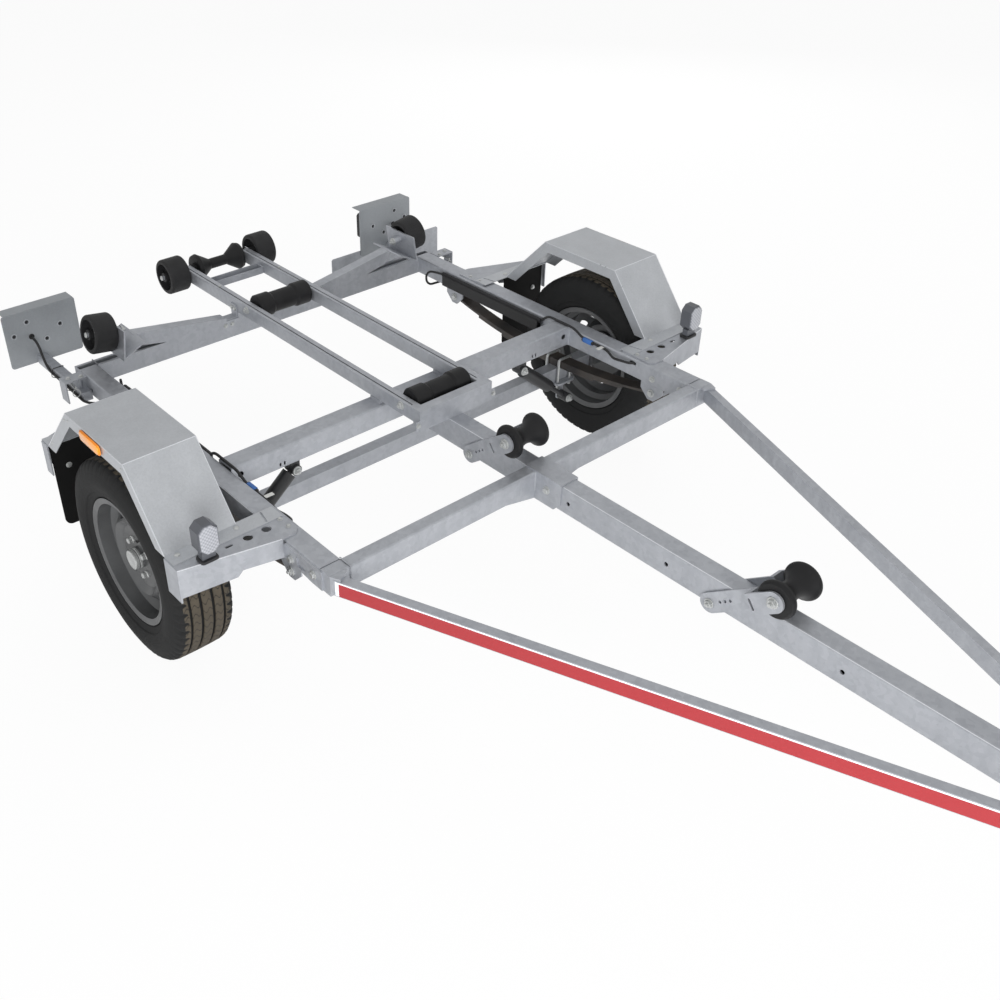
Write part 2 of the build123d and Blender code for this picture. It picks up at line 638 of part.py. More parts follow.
# brackets that carry the mudguards: a shelf on the rail, a web under its folded edge, an end flange
# name, fold at the rail (x, y), fold at the end (y), shelf's other edge (y)
bracket_rows = (("front", -400.0, -344.0, strip_front_y + 40), ("rear", 498.0, 396.0, strip_rear_y - 40))
bracket_inner_x = rail_inner_x + 10
bracket_corner = 16.0
web_drop = (56.0, 84.0)            # below the shelf: next to the rail, at the end
web_step = (106.0, 120.0, 12.0)    # where the web's step starts and ends, and what is left beyond it
end_flange_extra = 14.0            # the end flange's depth below the web
bracket_holes = (12.0, 65.0, 118.0)  # from the rail's outer face
bracket_hole_radius = 12.5
bracket_slot = (22.0, 9.0)
bracket_end_x = guard_outer_x + bracket_sheet
for row_name, fold_y, end_y, back_y in bracket_rows:
    with BuildPart() as bracket:
        ahead = -1 if fold_y < 0 else 1
        for side, name in sides:
            shelf = [(bracket_inner_x, back_y), (bracket_inner_x, fold_y - ahead * bracket_corner),
                     (bracket_inner_x + bracket_corner, fold_y), (rail_outer_x + 4, fold_y),
                     (bracket_end_x, end_y), (bracket_end_x, back_y)]
            prism(Plane.XY.offset(frame_top), mirrored(shelf, side), bracket_sheet)
            # the web hangs from the fold, outboard of the rail
            fold_start = Vector(side * (rail_outer_x + 4), fold_y, shelf_top)
            fold_end = Vector(side * bracket_end_x, end_y, shelf_top)
            run = (fold_end - fold_start).length
            web_plane = Plane(origin=fold_start, x_dir=fold_end - fold_start,
                              z_dir=Vector(0, 0, 1).cross(fold_end - fold_start) * (side * ahead))
            up = web_plane.y_dir.Z
            web = [(0, 0), (run, 0), (run, -web_drop[1]), (web_step[1], -web_drop[1] + web_step[2]),
                   (web_step[0], -web_drop[0]), (0, -web_drop[0])]
            prism(web_plane, [(u, v * up) for u, v in web], -bracket_sheet)
            end_low = shelf_top - web_drop[1] - end_flange_extra
            flange_in = side * (bracket_end_x - bracket_sheet)
            block(flange_in, side * bracket_end_x, end_y, back_y, end_low, shelf_top)
            # two round holes and an oblong one in the shelf
            places = [(side * (rail_outer_x + from_rail), end_y - ahead * 4) for from_rail in bracket_holes]
            round_holes(Plane.XY.offset(shelf_top), places[:2], bracket_hole_radius, 2 * bracket_sheet)
            slot_holes(Plane.XY.offset(shelf_top), places[2:], *bracket_slot, 2 * bracket_sheet)
    keep(f"mudguard_{row_name}_brackets", bracket)

# ---------------------------------------------------------------- mud flaps
flap_y = 376.0
flap_wall = 4.0
flap_bottom = 200.0
flap_corner = 22.0
flap_inset = 6.0
flap_strap = 34.0
with BuildPart() as mud_flaps:
    for side, name in sides:
        flap_width = guard_width - 2 * flap_inset
        flap_mid = (side * (guard_inner_x + guard_outer_x) / 2, (flap_bottom + frame_top) / 2)
        rounded_plate(Plane.XZ.offset(-flap_y), flap_mid, flap_width, frame_top - flap_bottom, flap_corner,
                      flap_wall)
        block(flap_mid[0] - flap_width / 2, flap_mid[0] + flap_width / 2, flap_y - flap_wall, flap_y,
              frame_top - flap_strap, frame_top)
keep("mud_flaps", mud_flaps)

# ---------------------------------------------------------------- lights
lamp_arm_size = 30.0
lamp_arm_drop = 40.0       # below the frame's top
lamp_arm_front_y = 640.0
clamp_reach = 70.0         # the arm's clamp, outboard of the rail
clamp_length = 44.0
clamp_wall = 4.0
clamp_bolt = 6.0
board_y = 965.0
board_sheet = 3.0
board_inner_x = 571.0
board_outer_x = 812.0
board_rise = (-66.0, 116.0)    # lower and upper edge from the frame's top
board_corner = 9.0
board_lip = 50.0
lip_inset = (4.0, 8.0)
# holes in the boards: from the middle line, height above the frame's top, radius
board_holes = ((736.0, 78.0, 6.0), (632.0, 41.0, 6.0), (784.0, 42.0, 6.0), (683.0, 5.0, 6.0),
               (730.0, 26.0, 8.0))
lamp_arm_top = frame_top - lamp_arm_drop
board_low = frame_top + board_rise[0]
board_high = frame_top + board_rise[1]
with BuildPart() as lamp_arms:
    for side, name in sides:
        arm_in, arm_out = side * rail_outer_x, side * (rail_outer_x + lamp_arm_size)
        block(arm_in, arm_out, lamp_arm_front_y, board_y, lamp_arm_top - lamp_arm_size, lamp_arm_top)
        # inverted channel that ties the arm to the rail
        clamp_y = rear_front_y - clamp_length
        clamp_out = side * (rail_outer_x + clamp_reach)
        clamp_low = lamp_arm_top - lamp_arm_size
        block(arm_in, clamp_out, clamp_y, rear_front_y, frame_top - clamp_wall, frame_top)
        block(clamp_out - side * clamp_wall, clamp_out, clamp_y, rear_front_y, clamp_low, frame_top)
        bolt_x, bolt_y = (arm_in + arm_out) / 2, (clamp_y + rear_front_y) / 2
        rod((bolt_x, bolt_y, lamp_arm_top), (bolt_x, bolt_y, frame_top), clamp_bolt)
keep("lamp_arms", lamp_arms)

for side, name in sides:
    with BuildPart() as light_board:
        board_mid = (side * (board_inner_x + board_outer_x) / 2, (board_low + board_high) / 2)
        rounded_plate(Plane.XZ.offset(-board_y), board_mid, board_outer_x - board_inner_x,
                      board_high - board_low, board_corner, -board_sheet)
        block(side * (board_inner_x + lip_inset[0]), side * (board_outer_x - lip_inset[1]), board_y,
              board_y + board_lip, board_high - board_sheet, board_high)
        for hole_x, hole_rise, hole_radius in board_holes:
            round_holes(Plane.XZ.offset(-board_y), [(side * hole_x, frame_top + hole_rise)], hole_radius,
                        2 * board_sheet)
    keep(f"light_board_{name}", light_board)

# holder for the number plate, on the left-hand side only
holder_x = (437.0, 957.0)
holder_rise = (-153.0, -43.0)
holder_wall = 3.0
with BuildPart() as number_plate_holder:
    holder_mid = ((holder_x[0] + holder_x[1]) / 2, frame_top + (holder_rise[0] + holder_rise[1]) / 2)
    rounded_plate(Plane.XZ.offset(-board_y - board_sheet), holder_mid, holder_x[1] - holder_x[0],
                  holder_rise[1] - holder_rise[0], board_corner, -holder_wall)
keep("number_plate_holder", number_plate_holder)

lamp_size = (200.0, 95.0, 44.0)
lamp_rise = 40.0
lamp_round = 12.0
with BuildPart() as tail_lamps:
    for side, name in sides:
        lamp_mid = (side * (board_inner_x + board_outer_x) / 2, frame_top + lamp_rise)
        lamp_width, lamp_height, lamp_depth = lamp_size
        rounded_plate(Plane.XZ.offset(-board_y - board_sheet), lamp_mid, lamp_width, lamp_height, lamp_round,
                      -lamp_depth)
keep("tail_lamps", tail_lamps)

# position lamps: an eight-sided head on a foot that stands on the front brackets
position_x = 878.0
position_y = -350.0
position_size = (54.0, 34.0, 82.0)
position_foot = (36.0, 20.0, 28.0)
position_corner = 15.0
with BuildPart() as position_lamps:
    for side, name in sides:
        half_wide, half_deep = position_size[0] / 2, position_size[1] / 2
        low_z = shelf_top + position_foot[2]
        high_z = low_z + position_size[2]
        head = [(-half_wide, low_z + position_corner), (-half_wide + position_corner, low_z),
                (half_wide - position_corner, low_z), (half_wide, low_z + position_corner),
                (half_wide, high_z - position_corner), (half_wide - position_corner, high_z),
                (-half_wide + position_corner, high_z), (-half_wide, high_z - position_corner)]
        prism(Plane.XZ.offset(-position_y - half_deep), [(side * position_x + u, v) for u, v in head],
              2 * half_deep)
        block(side * position_x - position_foot[0] / 2, side * position_x + position_foot[0] / 2,
              position_y - position_foot[1] / 2, position_y + position_foot[1] / 2, shelf_top, low_z + 1)
keep("position_lamps", position_lamps)

# ---------------------------------------------------------------- wiring
duct_depth = 18.0
duct_rise = (-52.0, -22.4)     # lower and upper face from the frame's top
duct_lip = 8.0
duct_wall = 1.5
duct_y = (65.0, 545.0)
with BuildPart() as cable_ducts:
    for side, name in sides:
        duct_low, duct_high = frame_top + duct_rise[0], frame_top + duct_rise[1]
        section = [(rail_inner_x, duct_low), (rail_inner_x - duct_depth, duct_low),
                   (rail_inner_x - duct_depth, duct_high + duct_lip),
                   (rail_inner_x - duct_depth + duct_wall, duct_high + duct_lip),
                   (rail_inner_x - duct_depth + duct_wall, duct_high), (rail_inner_x, duct_high)]
        prism(Plane.XZ.offset(-duct_y[1]), mirrored(section, side), duct_y[1] - duct_y[0])
        block(side * (rail_inner_x - duct_wall), side * (rail_inner_x - duct_depth + duct_wall), duct_y[0],
              duct_y[1], duct_low + duct_wall, duct_high - duct_wall, Mode.SUBTRACT)
keep("cable_ducts", cable_ducts)

cable_radius = 4.0
cable_gap = 0.3
arc_share = 0.45
cable_x = rail_inner_x - cable_radius - cable_gap
arm_side_x = rail_outer_x + lamp_arm_size + cable_radius + 2 * cable_gap
duct_line_z = frame_top + duct_rise[1] + cable_radius + cable_gap
over_mid_z = mid_top + cable_radius + cable_gap
under_rail_z = frame_bottom - cable_radius - 12.0
grommet_x, grommet_z = board_holes[-1][0], frame_top + board_holes[-1][1]
# from the tail lamp along the arm and the rail to the position lamp: from the middle line, y, z
cable_route = (
    (grommet_x, board_y + 1.0, grommet_z),
    (arm_side_x, board_y - 46.0, grommet_z - 8.0),
    (arm_side_x, board_y - 80.0, lamp_arm_top - 15.0),
    (arm_side_x, rear_front_y - 82.0, lamp_arm_top - 21.0),
    (rail_outer_x - 6.0, rear_front_y - 90.0, under_rail_z),
    (cable_x - 24.0, rear_front_y - 82.0, under_rail_z),
    (cable_x - 24.0, rear_front_y - 80.0, duct_line_z),
    (cable_x, duct_y[1] + 21.0, duct_line_z),
    (cable_x, duct_y[0] - 4.0, duct_line_z),
    (cable_x, 30.0, over_mid_z),
    (cable_x, mid_front_y - 24.0, over_mid_z),
    (cable_x, mid_front_y - 66.0, frame_top - 9.0),
    (cable_x, -232.0, frame_top - 9.0),
    (cable_x - 5.0, -262.0, frame_top - 24.0),
    (cable_x - 7.0, rail_pass_y + 43.0, frame_top - 18.0),
    (cable_x - 4.0, rail_pass_y - 5.0, frame_top - rail_pass_drop),
    (rail_outer_x + 8.0, rail_pass_y - 9.0, frame_top - rail_pass_drop),
    (position_x, position_y, frame_top - cable_radius - cable_gap),
)


def arc_radii(points):
    """The largest arc that the two runs at each corner allow."""
    radii = []
    for before, corner, after in zip(points, points[1:], points[2:]):
        run_in, run_out = Vector(*corner) - Vector(*before), Vector(*after) - Vector(*corner)
        half_turn = radians(run_in.get_angle(run_out)) / 2
        radii.append(arc_share * min(run_in.length, run_out.length) / tan(half_turn))
    return radii


def cable_line(points):
    """A route with an arc at every corner."""
    radii = arc_radii(points)
    start = Vector(*points[0])
    for i, radius in enumerate(radii, 1):
        corner = Vector(*points[i])
        back = (Vector(*points[i - 1]) - corner).normalized()
        on = (Vector(*points[i + 1]) - corner).normalized()
        half_turn = radians(180 - back.get_angle(on)) / 2
        reach = radius * tan(half_turn)
        middle = corner + (back + on).normalized() * (radius / cos(half_turn) - radius)
        Line(start, corner + back * reach)
        ThreePointArc(corner + back * reach, middle, corner + on * reach)
        start = corner + on * reach
    Line(start, Vector(*points[-1]))


for side, name in sides:
    points = [(side * x, y, z) for x, y, z in cable_route]
    with BuildPart() as cable:
        with BuildLine() as cable_path:
            cable_line(points)
        with BuildSketch(Plane(origin=cable_path.line @ 0, z_dir=cable_path.line % 0)):
            Circle(cable_radius)
        sweep()
    keep(f"cable_{name}", cable)
print("cable radii", [round(r, 1) for r in arc_radii(cable_route)])

# ---------------------------------------------------------------- keel cradle
cradle_inner_x = 104.0
cradle_rail_width = 30.0
cradle_rail_height = 45.0
cradle_wall = 3.0
cradle_slot = 4.0
cradle_slot_shift = -5.0   # both slots lie nearer the right-hand side
cradle_front_y = -205.0
cradle_rear_y = 1075.0
cradle_rise = 18.0
cradle_bar_depth = 30.0
cradle_taper = 70.0
pad_inset = 10.0
rear_shaft_y = 1047.0
shaft_rise = 48.0
rear_roller_radius = 60.0
rear_roller_width = 75.0
rear_roller_gap = 3.0
roller_side_gap = 5.0
# name, y, end radius, middle radius
cradle_rollers = (("front", -152.0, 38.0, 33.0), ("middle", 643.0, 39.0, 34.0))
cradle_bottom = frame_top + cradle_rise
cradle_top = cradle_bottom + cradle_rail_height
cradle_outer_x = cradle_inner_x + cradle_rail_width
shaft_z = frame_top + shaft_rise
shaft_ys = [rear_shaft_y] + [row[1] for row in cradle_rollers]
for side, name in sides:
    with BuildPart() as cradle_rail:
        x_mid = side * (cradle_inner_x + cradle_rail_width / 2)
        box_tube(Plane(origin=(x_mid, cradle_rear_y, (cradle_bottom + cradle_top) / 2), x_dir=(1, 0, 0),
                       z_dir=(0, -1, 0)), cradle_rail_width, cradle_rail_height, cradle_wall,
                 cradle_rear_y - cradle_front_y, 4)
        slot_x = x_mid + cradle_slot_shift
        block(slot_x - cradle_slot / 2, slot_x + cradle_slot / 2, cradle_front_y + 14, cradle_rear_y - 14,
              cradle_top - cradle_wall - 1, cradle_top + 1, Mode.SUBTRACT)
        # tapered rear end and closed front end
        prism(Plane.YZ.offset(-cradle_outer_x - 1), [
            (cradle_rear_y - cradle_taper, cradle_top + 1), (cradle_rear_y + 1, cradle_top + 1),
            (cradle_rear_y + 1, cradle_top - 10), (cradle_rear_y - cradle_taper + 40, cradle_top)],
            2 * cradle_outer_x + 2, Mode.SUBTRACT)
        block(side * (cradle_inner_x + 1), side * (cradle_outer_x - 1), cradle_front_y,
              cradle_front_y + cradle_wall, cradle_bottom + 1, cradle_top - 1)
        for y in shaft_ys:
            across(y, shaft_z, -cradle_outer_x - 1, cradle_outer_x + 1, pin_radius, Mode.SUBTRACT)
        # pads down to the crossmembers
        for pad_front, pad_back, pad_low in ((rear_front_y, rear_face_y, frame_top),
                                             (mid_front_y + pad_inset, mid_back_y - pad_inset, mid_top)):
            block(side * cradle_inner_x, side * cradle_outer_x, pad_front, pad_back, pad_low, cradle_bottom + 1)
    keep(f"cradle_rail_{name}", cradle_rail)

with BuildPart() as cradle_front_bar:
    bar_front_y = cradle_front_y - cradle_bar_depth
    tie_x = cradle_outer_x + 13
    tie_z = (frame_top + 6, frame_top + 34)
    block(-cradle_outer_x, cradle_outer_x, bar_front_y, cradle_front_y, frame_top, cradle_top)
    core_x = cradle_outer_x - cradle_wall
    block(-core_x, core_x, bar_front_y + cradle_wall, cradle_front_y, frame_top + cradle_wall,
          cradle_top - cradle_wall, Mode.SUBTRACT)
    for side, name in sides:
        block(side * (cradle_outer_x - 2), side * tie_x, bar_front_y, bar_front_y + cradle_wall, *tie_z)
keep("cradle_front_bar", cradle_front_bar)

rear_bar_y = 915.0
rear_bar_size = (40.0, 24.0)
with BuildPart() as cradle_rear_bar:
    # an open-topped channel between the rails
    block(-cradle_inner_x, cradle_inner_x, rear_bar_y, rear_bar_y + rear_bar_size[0], cradle_bottom,
          cradle_bottom + rear_bar_size[1])
    rear_bar_back_y = rear_bar_y + rear_bar_size[0]
    block(-cradle_inner_x, cradle_inner_x, rear_bar_y + cradle_wall, rear_bar_back_y - cradle_wall,
          cradle_bottom + cradle_wall, cradle_bottom + rear_bar_size[1] + 1, Mode.SUBTRACT)
keep("cradle_rear_bar", cradle_rear_bar)

# ---------------------------------------------------------------- rollers of the cradle
hub_radius = 16.0
roller_rim = 14.0          # thickness of a hollow roller's tread
roller_web = 12.0          # half thickness of its middle web
shoulder = 8.0


def hollow_roller(builder, centre, width, radius, direction=(1, 0, 0)):
    """A roller with rounded shoulders, hollow ends and a hub, round a pin."""
    half, inside = width / 2, radius - roller_rim
    half_section = [(half, hub_radius), (roller_web, hub_radius), (roller_web, inside), (half, inside),
                    (half, radius)]
    turned(centre, mirrored(half_section, -1) + half_section[::-1], bore, direction)
    round_rims(builder, radius, shoulder)


v_half = cradle_inner_x - 6
v_collar = (8.0, 20.0)     # length and radius of the collars outside the cones
v_rim = (12.0, 47.0)
v_neck = (32.0, 18.0)      # half length and radius of the neck
with BuildPart() as rear_keel_roller:
    collar_at = v_half - v_collar[0]
    half_v = [(v_half, v_collar[1]), (collar_at, v_collar[1]), (collar_at, v_rim[1] - 3),
              (collar_at - v_rim[0], v_rim[1]), v_neck]
    turned((0, rear_shaft_y, shaft_z), mirrored(half_v, -1) + half_v[::-1], bore)
keep("rear_keel_roller", rear_keel_roller)

for side, name in sides:
    with BuildPart() as rear_roller:
        roller_x = side * (cradle_outer_x + rear_roller_gap + rear_roller_width / 2)
        hollow_roller(rear_roller, (roller_x, rear_shaft_y, shaft_z), rear_roller_width, rear_roller_radius)
    keep(f"rear_roller_{name}", rear_roller)

cradle_roller_end = 50.0
for name, y, end_radius, mid_radius in cradle_rollers:
    half = cradle_inner_x - roller_side_gap
    with BuildPart() as cradle_roller:
        half_outline = [(half, end_radius - 3), (half - 4, end_radius),
                        (half - cradle_roller_end, end_radius), (half - cradle_roller_end - 8, mid_radius)]
        turned((0, y, shaft_z), mirrored(half_outline, -1) + half_outline[::-1], bore)
    keep(f"cradle_roller_{name}", cradle_roller)

shaft_overhang = 8.0
with BuildPart() as roller_shafts:
    shaft_half = cradle_outer_x + rear_roller_gap + rear_roller_width + shaft_overhang
    across(rear_shaft_y, shaft_z, -shaft_half, shaft_half, pin_radius)
    for name, y, end_radius, mid_radius in cradle_rollers:
        across(y, shaft_z, -cradle_outer_x, cradle_outer_x, pin_radius)
keep("roller_shafts", roller_shafts)

# ---------------------------------------------------------------- keel rollers over the drawbar
plate_wall = 6.0
plate_depth = 52.0
plate_head_x = 58.0
plate_jog = 14.0
jog_slot = (30.0, 6.0)
plate_foot_drop = 70.0     # foot bolt below the frame's top
roller_rise = 60.0         # roller's centre above the frame's top
roller_lead = 171.0        # roller's centre ahead of the foot bolt
small_hole_radius = 4.0
small_hole_steps = (34.0, 50.0, 66.0)
flange_radius = 47.0
flange_width = 18.0
flange_edge = 6.0
waist_radius = 24.0
# name, y of the foot bolt
bar_rollers = (("rear", -328.0), ("front", -1160.0))
bar_foot_z = frame_top - plate_foot_drop
bar_head_z = frame_top + roller_rise


def keel_roller_shape(centre, half):
    """A spool with bulging flanges and a hollow waist, turned about X."""
    with BuildSketch(Plane(origin=centre, x_dir=(1, 0, 0), z_dir=(0, -1, 0))) as section:
        with BuildLine() as edge:
            waist = half - flange_width
            edge_r, waist_r = flange_radius - flange_edge, flange_radius - flange_edge + 2
            Line((-half, bore), (-half, edge_r))
            ThreePointArc((-half, edge_r), (-half + flange_width / 2, flange_radius), (-waist, waist_r))
            ThreePointArc((-waist, waist_r), (0, waist_radius), (waist, waist_r))
            ThreePointArc((waist, waist_r), (half - flange_width / 2, flange_radius), (half, edge_r))
            Line((half, edge_r), (half, bore))
            Line((half, bore), (-half, bore))
        make_face(edge.line)
    revolve(section.sketch, axis=Axis(centre, (1, 0, 0)))


def cranked_plate(side, foot_y, head_y):
    """A plate that rises from the drawbar's side, cranks outward and ends in a rounded head."""
    run = Vector(head_y - foot_y, bar_head_z - bar_foot_z)
    size = run.length
    along = run.normalized()
    half = plate_depth / 2

    def spot(distance, offset=0.0):
        y = foot_y + along.X * distance - along.Y * offset
        return (y, bar_foot_z + along.Y * distance + along.X * offset)

    def strip(x0, x1, start, end):
        low = min(side * x0, side * x1)
        corners = [spot(start, -half), spot(end, -half), spot(end, half), spot(start, half)]
        prism(Plane.YZ.offset(low), corners, abs(x1 - x0))

    knee = size - flange_radius - 22
    strip(half_bar, half_bar + plate_wall, 0, knee + 1)
    across(foot_y, bar_foot_z, side * half_bar, side * (half_bar + plate_wall), half)
    strip(half_bar, plate_head_x + plate_wall, knee, knee + plate_jog)
    strip(plate_head_x, plate_head_x + plate_wall, knee + plate_jog - 1, size)
    across(head_y, bar_head_z, side * plate_head_x, side * (plate_head_x + plate_wall), half)
    angle = degrees(atan2(along.Y, along.X))
    slot_holes(Plane.YZ.offset(side * plate_head_x), [spot(knee + plate_jog / 2)], *jog_slot,
               plate_head_x - half_bar - plate_wall, angle + 90)
    plate_in, plate_out = side * (half_bar - 1), side * (half_bar + plate_wall + 1)
    for step in small_hole_steps:
        across(*spot(step), plate_in, plate_out, small_hole_radius, Mode.SUBTRACT)


for name, foot_y in bar_rollers:
    head_y = foot_y - roller_lead
    with BuildPart() as keel_bracket:
        for side in (-1, 1):
            cranked_plate(side, foot_y, head_y)
        across(head_y, bar_head_z, -plate_head_x - 1, plate_head_x + 1, pin_radius)
    keep(f"keel_bracket_{name}", keel_bracket)
    with BuildPart() as keel_roller:
        keel_roller_shape((0, head_y, bar_head_z), plate_head_x - roller_gap)
    keep(f"keel_roller_{name}", keel_roller)

# ---------------------------------------------------------------- bolster arms and side rollers
side_roller_radius = 60.0
side_roller_width = 73.0
side_roller_inset = 29.0   # inboard of the rail's inner face
side_roller_rise = 91.0
side_roller_tilt = 9.0
arm_sheet = 4.0
# outline of the arm over the rear crossmember: inboard of the rail's inner face, above the frame's top
arm_outline = ((456.0, 0.0), (235.0, 0.0), (153.0, 16.0), (127.0, 63.0), (456.0, 11.0))
arm_tie_rise = 44.0
leg_y = (636.0, 792.0)
leg_sheet = 5.0
leg_foot_rise = 19.0
leg_top_rise = 114.0
fold_start = (136.0, 60.0)     # inboard of the rail's inner face, above the frame's top
boss_length = 34.0
boss_radius = 12.0
pin_overhang = 6.0
roller_y = rear_face_y - cross_width / 2
side_roller_centre = (rail_inner_x - side_roller_inset, roller_y, frame_top + side_roller_rise)
tilt = radians(side_roller_tilt)


def leg_x(rise):
    """Distance of the bracket's outer face from the middle line, at a height above the frame's top."""
    face_x = side_roller_centre[0] - (side_roller_width / 2 + roller_gap) * cos(tilt)
    face_rise = side_roller_rise - (side_roller_width / 2 + roller_gap) * sin(tilt)
    return face_x - (rise - face_rise) * tan(tilt)


for side, name in sides:
    direction = Vector(side * cos(tilt), 0, sin(tilt))
    centre = Vector(side * side_roller_centre[0], roller_y, side_roller_centre[2])
    inner_end = centre - direction * (side_roller_width / 2)
    outer_end = centre + direction * (side_roller_width / 2)
    with BuildPart() as bolster_arm:
        # an inverted channel that rises outward over the crossmember
        outline = [(side * (rail_inner_x - away), frame_top + rise) for away, rise in arm_outline]
        prism(Plane.XZ.offset(-rear_face_y), outline, cross_width)
        x_in, x_knee, x_tip, x_out = (rail_inner_x - row[0] for row in arm_outline[:4])
        hollow = [(x_in - 1, -1), (x_knee + 20, -1), (x_tip, arm_outline[2][1] - 4),
                  (x_out - 8, arm_outline[3][1] - 8), (x_in - 1, arm_outline[4][1] - arm_sheet)]
        prism(Plane.XZ.offset(-rear_face_y + arm_sheet), [(side * x, frame_top + rise) for x, rise in hollow],
              cross_width - 2 * arm_sheet, Mode.SUBTRACT)
        # angle that ties the arm to the cradle rail
        tie_y = (rear_front_y + arm_sheet, rear_face_y - arm_sheet)
        tie_x = side * cradle_outer_x
        block(tie_x, side * (x_in + 4), *tie_y, frame_top, frame_top + arm_sheet)
        block(tie_x, tie_x + side * arm_sheet, *tie_y, frame_top, frame_top + arm_tie_rise)
        # folded bracket beside the roller
        fold = [(rail_inner_x - fold_start[0], fold_start[1]), (leg_x(leg_foot_rise), leg_foot_rise),
                (leg_x(leg_top_rise), leg_top_rise)]
        sheet = [(side * x, frame_top + rise) for x, rise in fold + inset(fold, -leg_sheet)[::-1]]
        prism(Plane.XZ.offset(-leg_y[1]), sheet, leg_y[1] - leg_y[0])
        # the roller's pin and its boss
        pin_start = tuple(inner_end - direction * boss_length)
        rod(pin_start, tuple(outer_end + direction * pin_overhang), pin_radius)
        rod(pin_start, tuple(inner_end - direction * roller_gap), boss_radius)
    keep(f"bolster_arm_{name}", bolster_arm)
    with BuildPart() as side_roller:
        hollow_roller(side_roller, tuple(centre), side_roller_width, side_roller_radius, tuple(direction))
    keep(f"side_roller_{name}", side_roller)

# ---------------------------------------------------------------- road wheels
disc_wall = 5.0
disc_edge = 6.0
disc_ring = 106.0          # radius of the disc's raised ring
disc_ring_rise = 14.0
vent_count = 12
vent_size = (30.0, 20.0)
vent_circle = 121.0
wheel_hub_radius = 34.0
hub_flange_radius = 66.0
hub_flange_wall = 10.0
hub_cap_length = 30.0
hub_cap_radius = 27.0
hub_cap_wall = 4.0
flange_lip = 8.0
bead_inset = 8.0
rim_flange_radius = rim_seat_radius + rim_flange_height
for side, name in sides:
    wheel_centre = (side * wheel_x, 0, tyre_radius)
    with BuildPart() as tyre:
        half = tyre_width / 2
        bead = rim_width / 2 - bead_inset
        side_outline = [(bead, rim_seat_radius + 3), (bead, rim_flange_radius + 1), (half, tyre_radius - 52),
                        (tread_width / 2, tyre_radius)]
        turned(wheel_centre, [(-x, r) for x, r in side_outline] + side_outline[::-1], rim_seat_radius + 3)
    keep(f"tyre_{name}", tyre)
    with BuildPart() as wheel:
        half, seat, flange = rim_width / 2, rim_seat_radius, rim_flange_radius
        well = seat - rim_well_depth
        lip_x = half - flange_lip
        outside = [(-half, flange), (-lip_x, flange), (-lip_x, seat + 3), (-half + 40, seat + 2), (-half + 52, well),
                   (half - 60, well), (half - 44, seat + 2), (lip_x, seat + 3), (lip_x, flange), (half, flange)]
        inside = [(-half, flange - rim_wall), (-half + rim_wall, seat - 1), (-half + 38, seat - 2),
                  (-half + 50, well - rim_wall), (half - 58, well - rim_wall), (half - 42, seat - 2),
                  (half - rim_wall, seat - 1), (half, flange - rim_wall)]
        barrel = outside + inside[::-1]
        face = wheel_x + disc_offset
        dish = [(face - hub_length, wheel_hub_radius), (face - hub_flange_wall, wheel_hub_radius),
                (face - hub_flange_wall, hub_flange_radius), (face, hub_flange_radius), (face - 2, 90),
                (face + disc_ring_rise, disc_ring), (wheel_x + disc_edge, well - 3),
                (wheel_x + disc_edge + disc_wall, well - 3), (face + disc_ring_rise + disc_wall, disc_ring),
                (face + disc_wall, 88), (face + disc_wall, hub_cap_radius + 3),
                (face + hub_cap_length, hub_cap_radius), (face + hub_cap_length, 0),
                (face + hub_cap_length - hub_cap_wall, 0),
                (face + hub_cap_length - hub_cap_wall, stub_radius + stub_clearance),
                (face - hub_length, stub_radius + stub_clearance)]
        with BuildSketch(Plane(origin=(0, 0, tyre_radius), x_dir=(1, 0, 0), z_dir=(0, -1, 0))):
            with BuildLine():
                Polyline(*[(side * (wheel_x + x), r) for x, r in barrel], close=True)
            make_face()
            with BuildLine():
                Polyline(*mirrored(dish, side), close=True)
            make_face()
        revolve(axis=Axis((0, 0, tyre_radius), (1, 0, 0)))
        with BuildSketch(Plane.YZ.offset(side * face)):
            with Locations((0, tyre_radius)):
                with PolarLocations(vent_circle, vent_count):
                    SlotOverall(*vent_size, rotation=90)
        extrude(amount=vent_size[0], both=True, mode=Mode.SUBTRACT)
    keep(f"wheel_{name}", wheel)

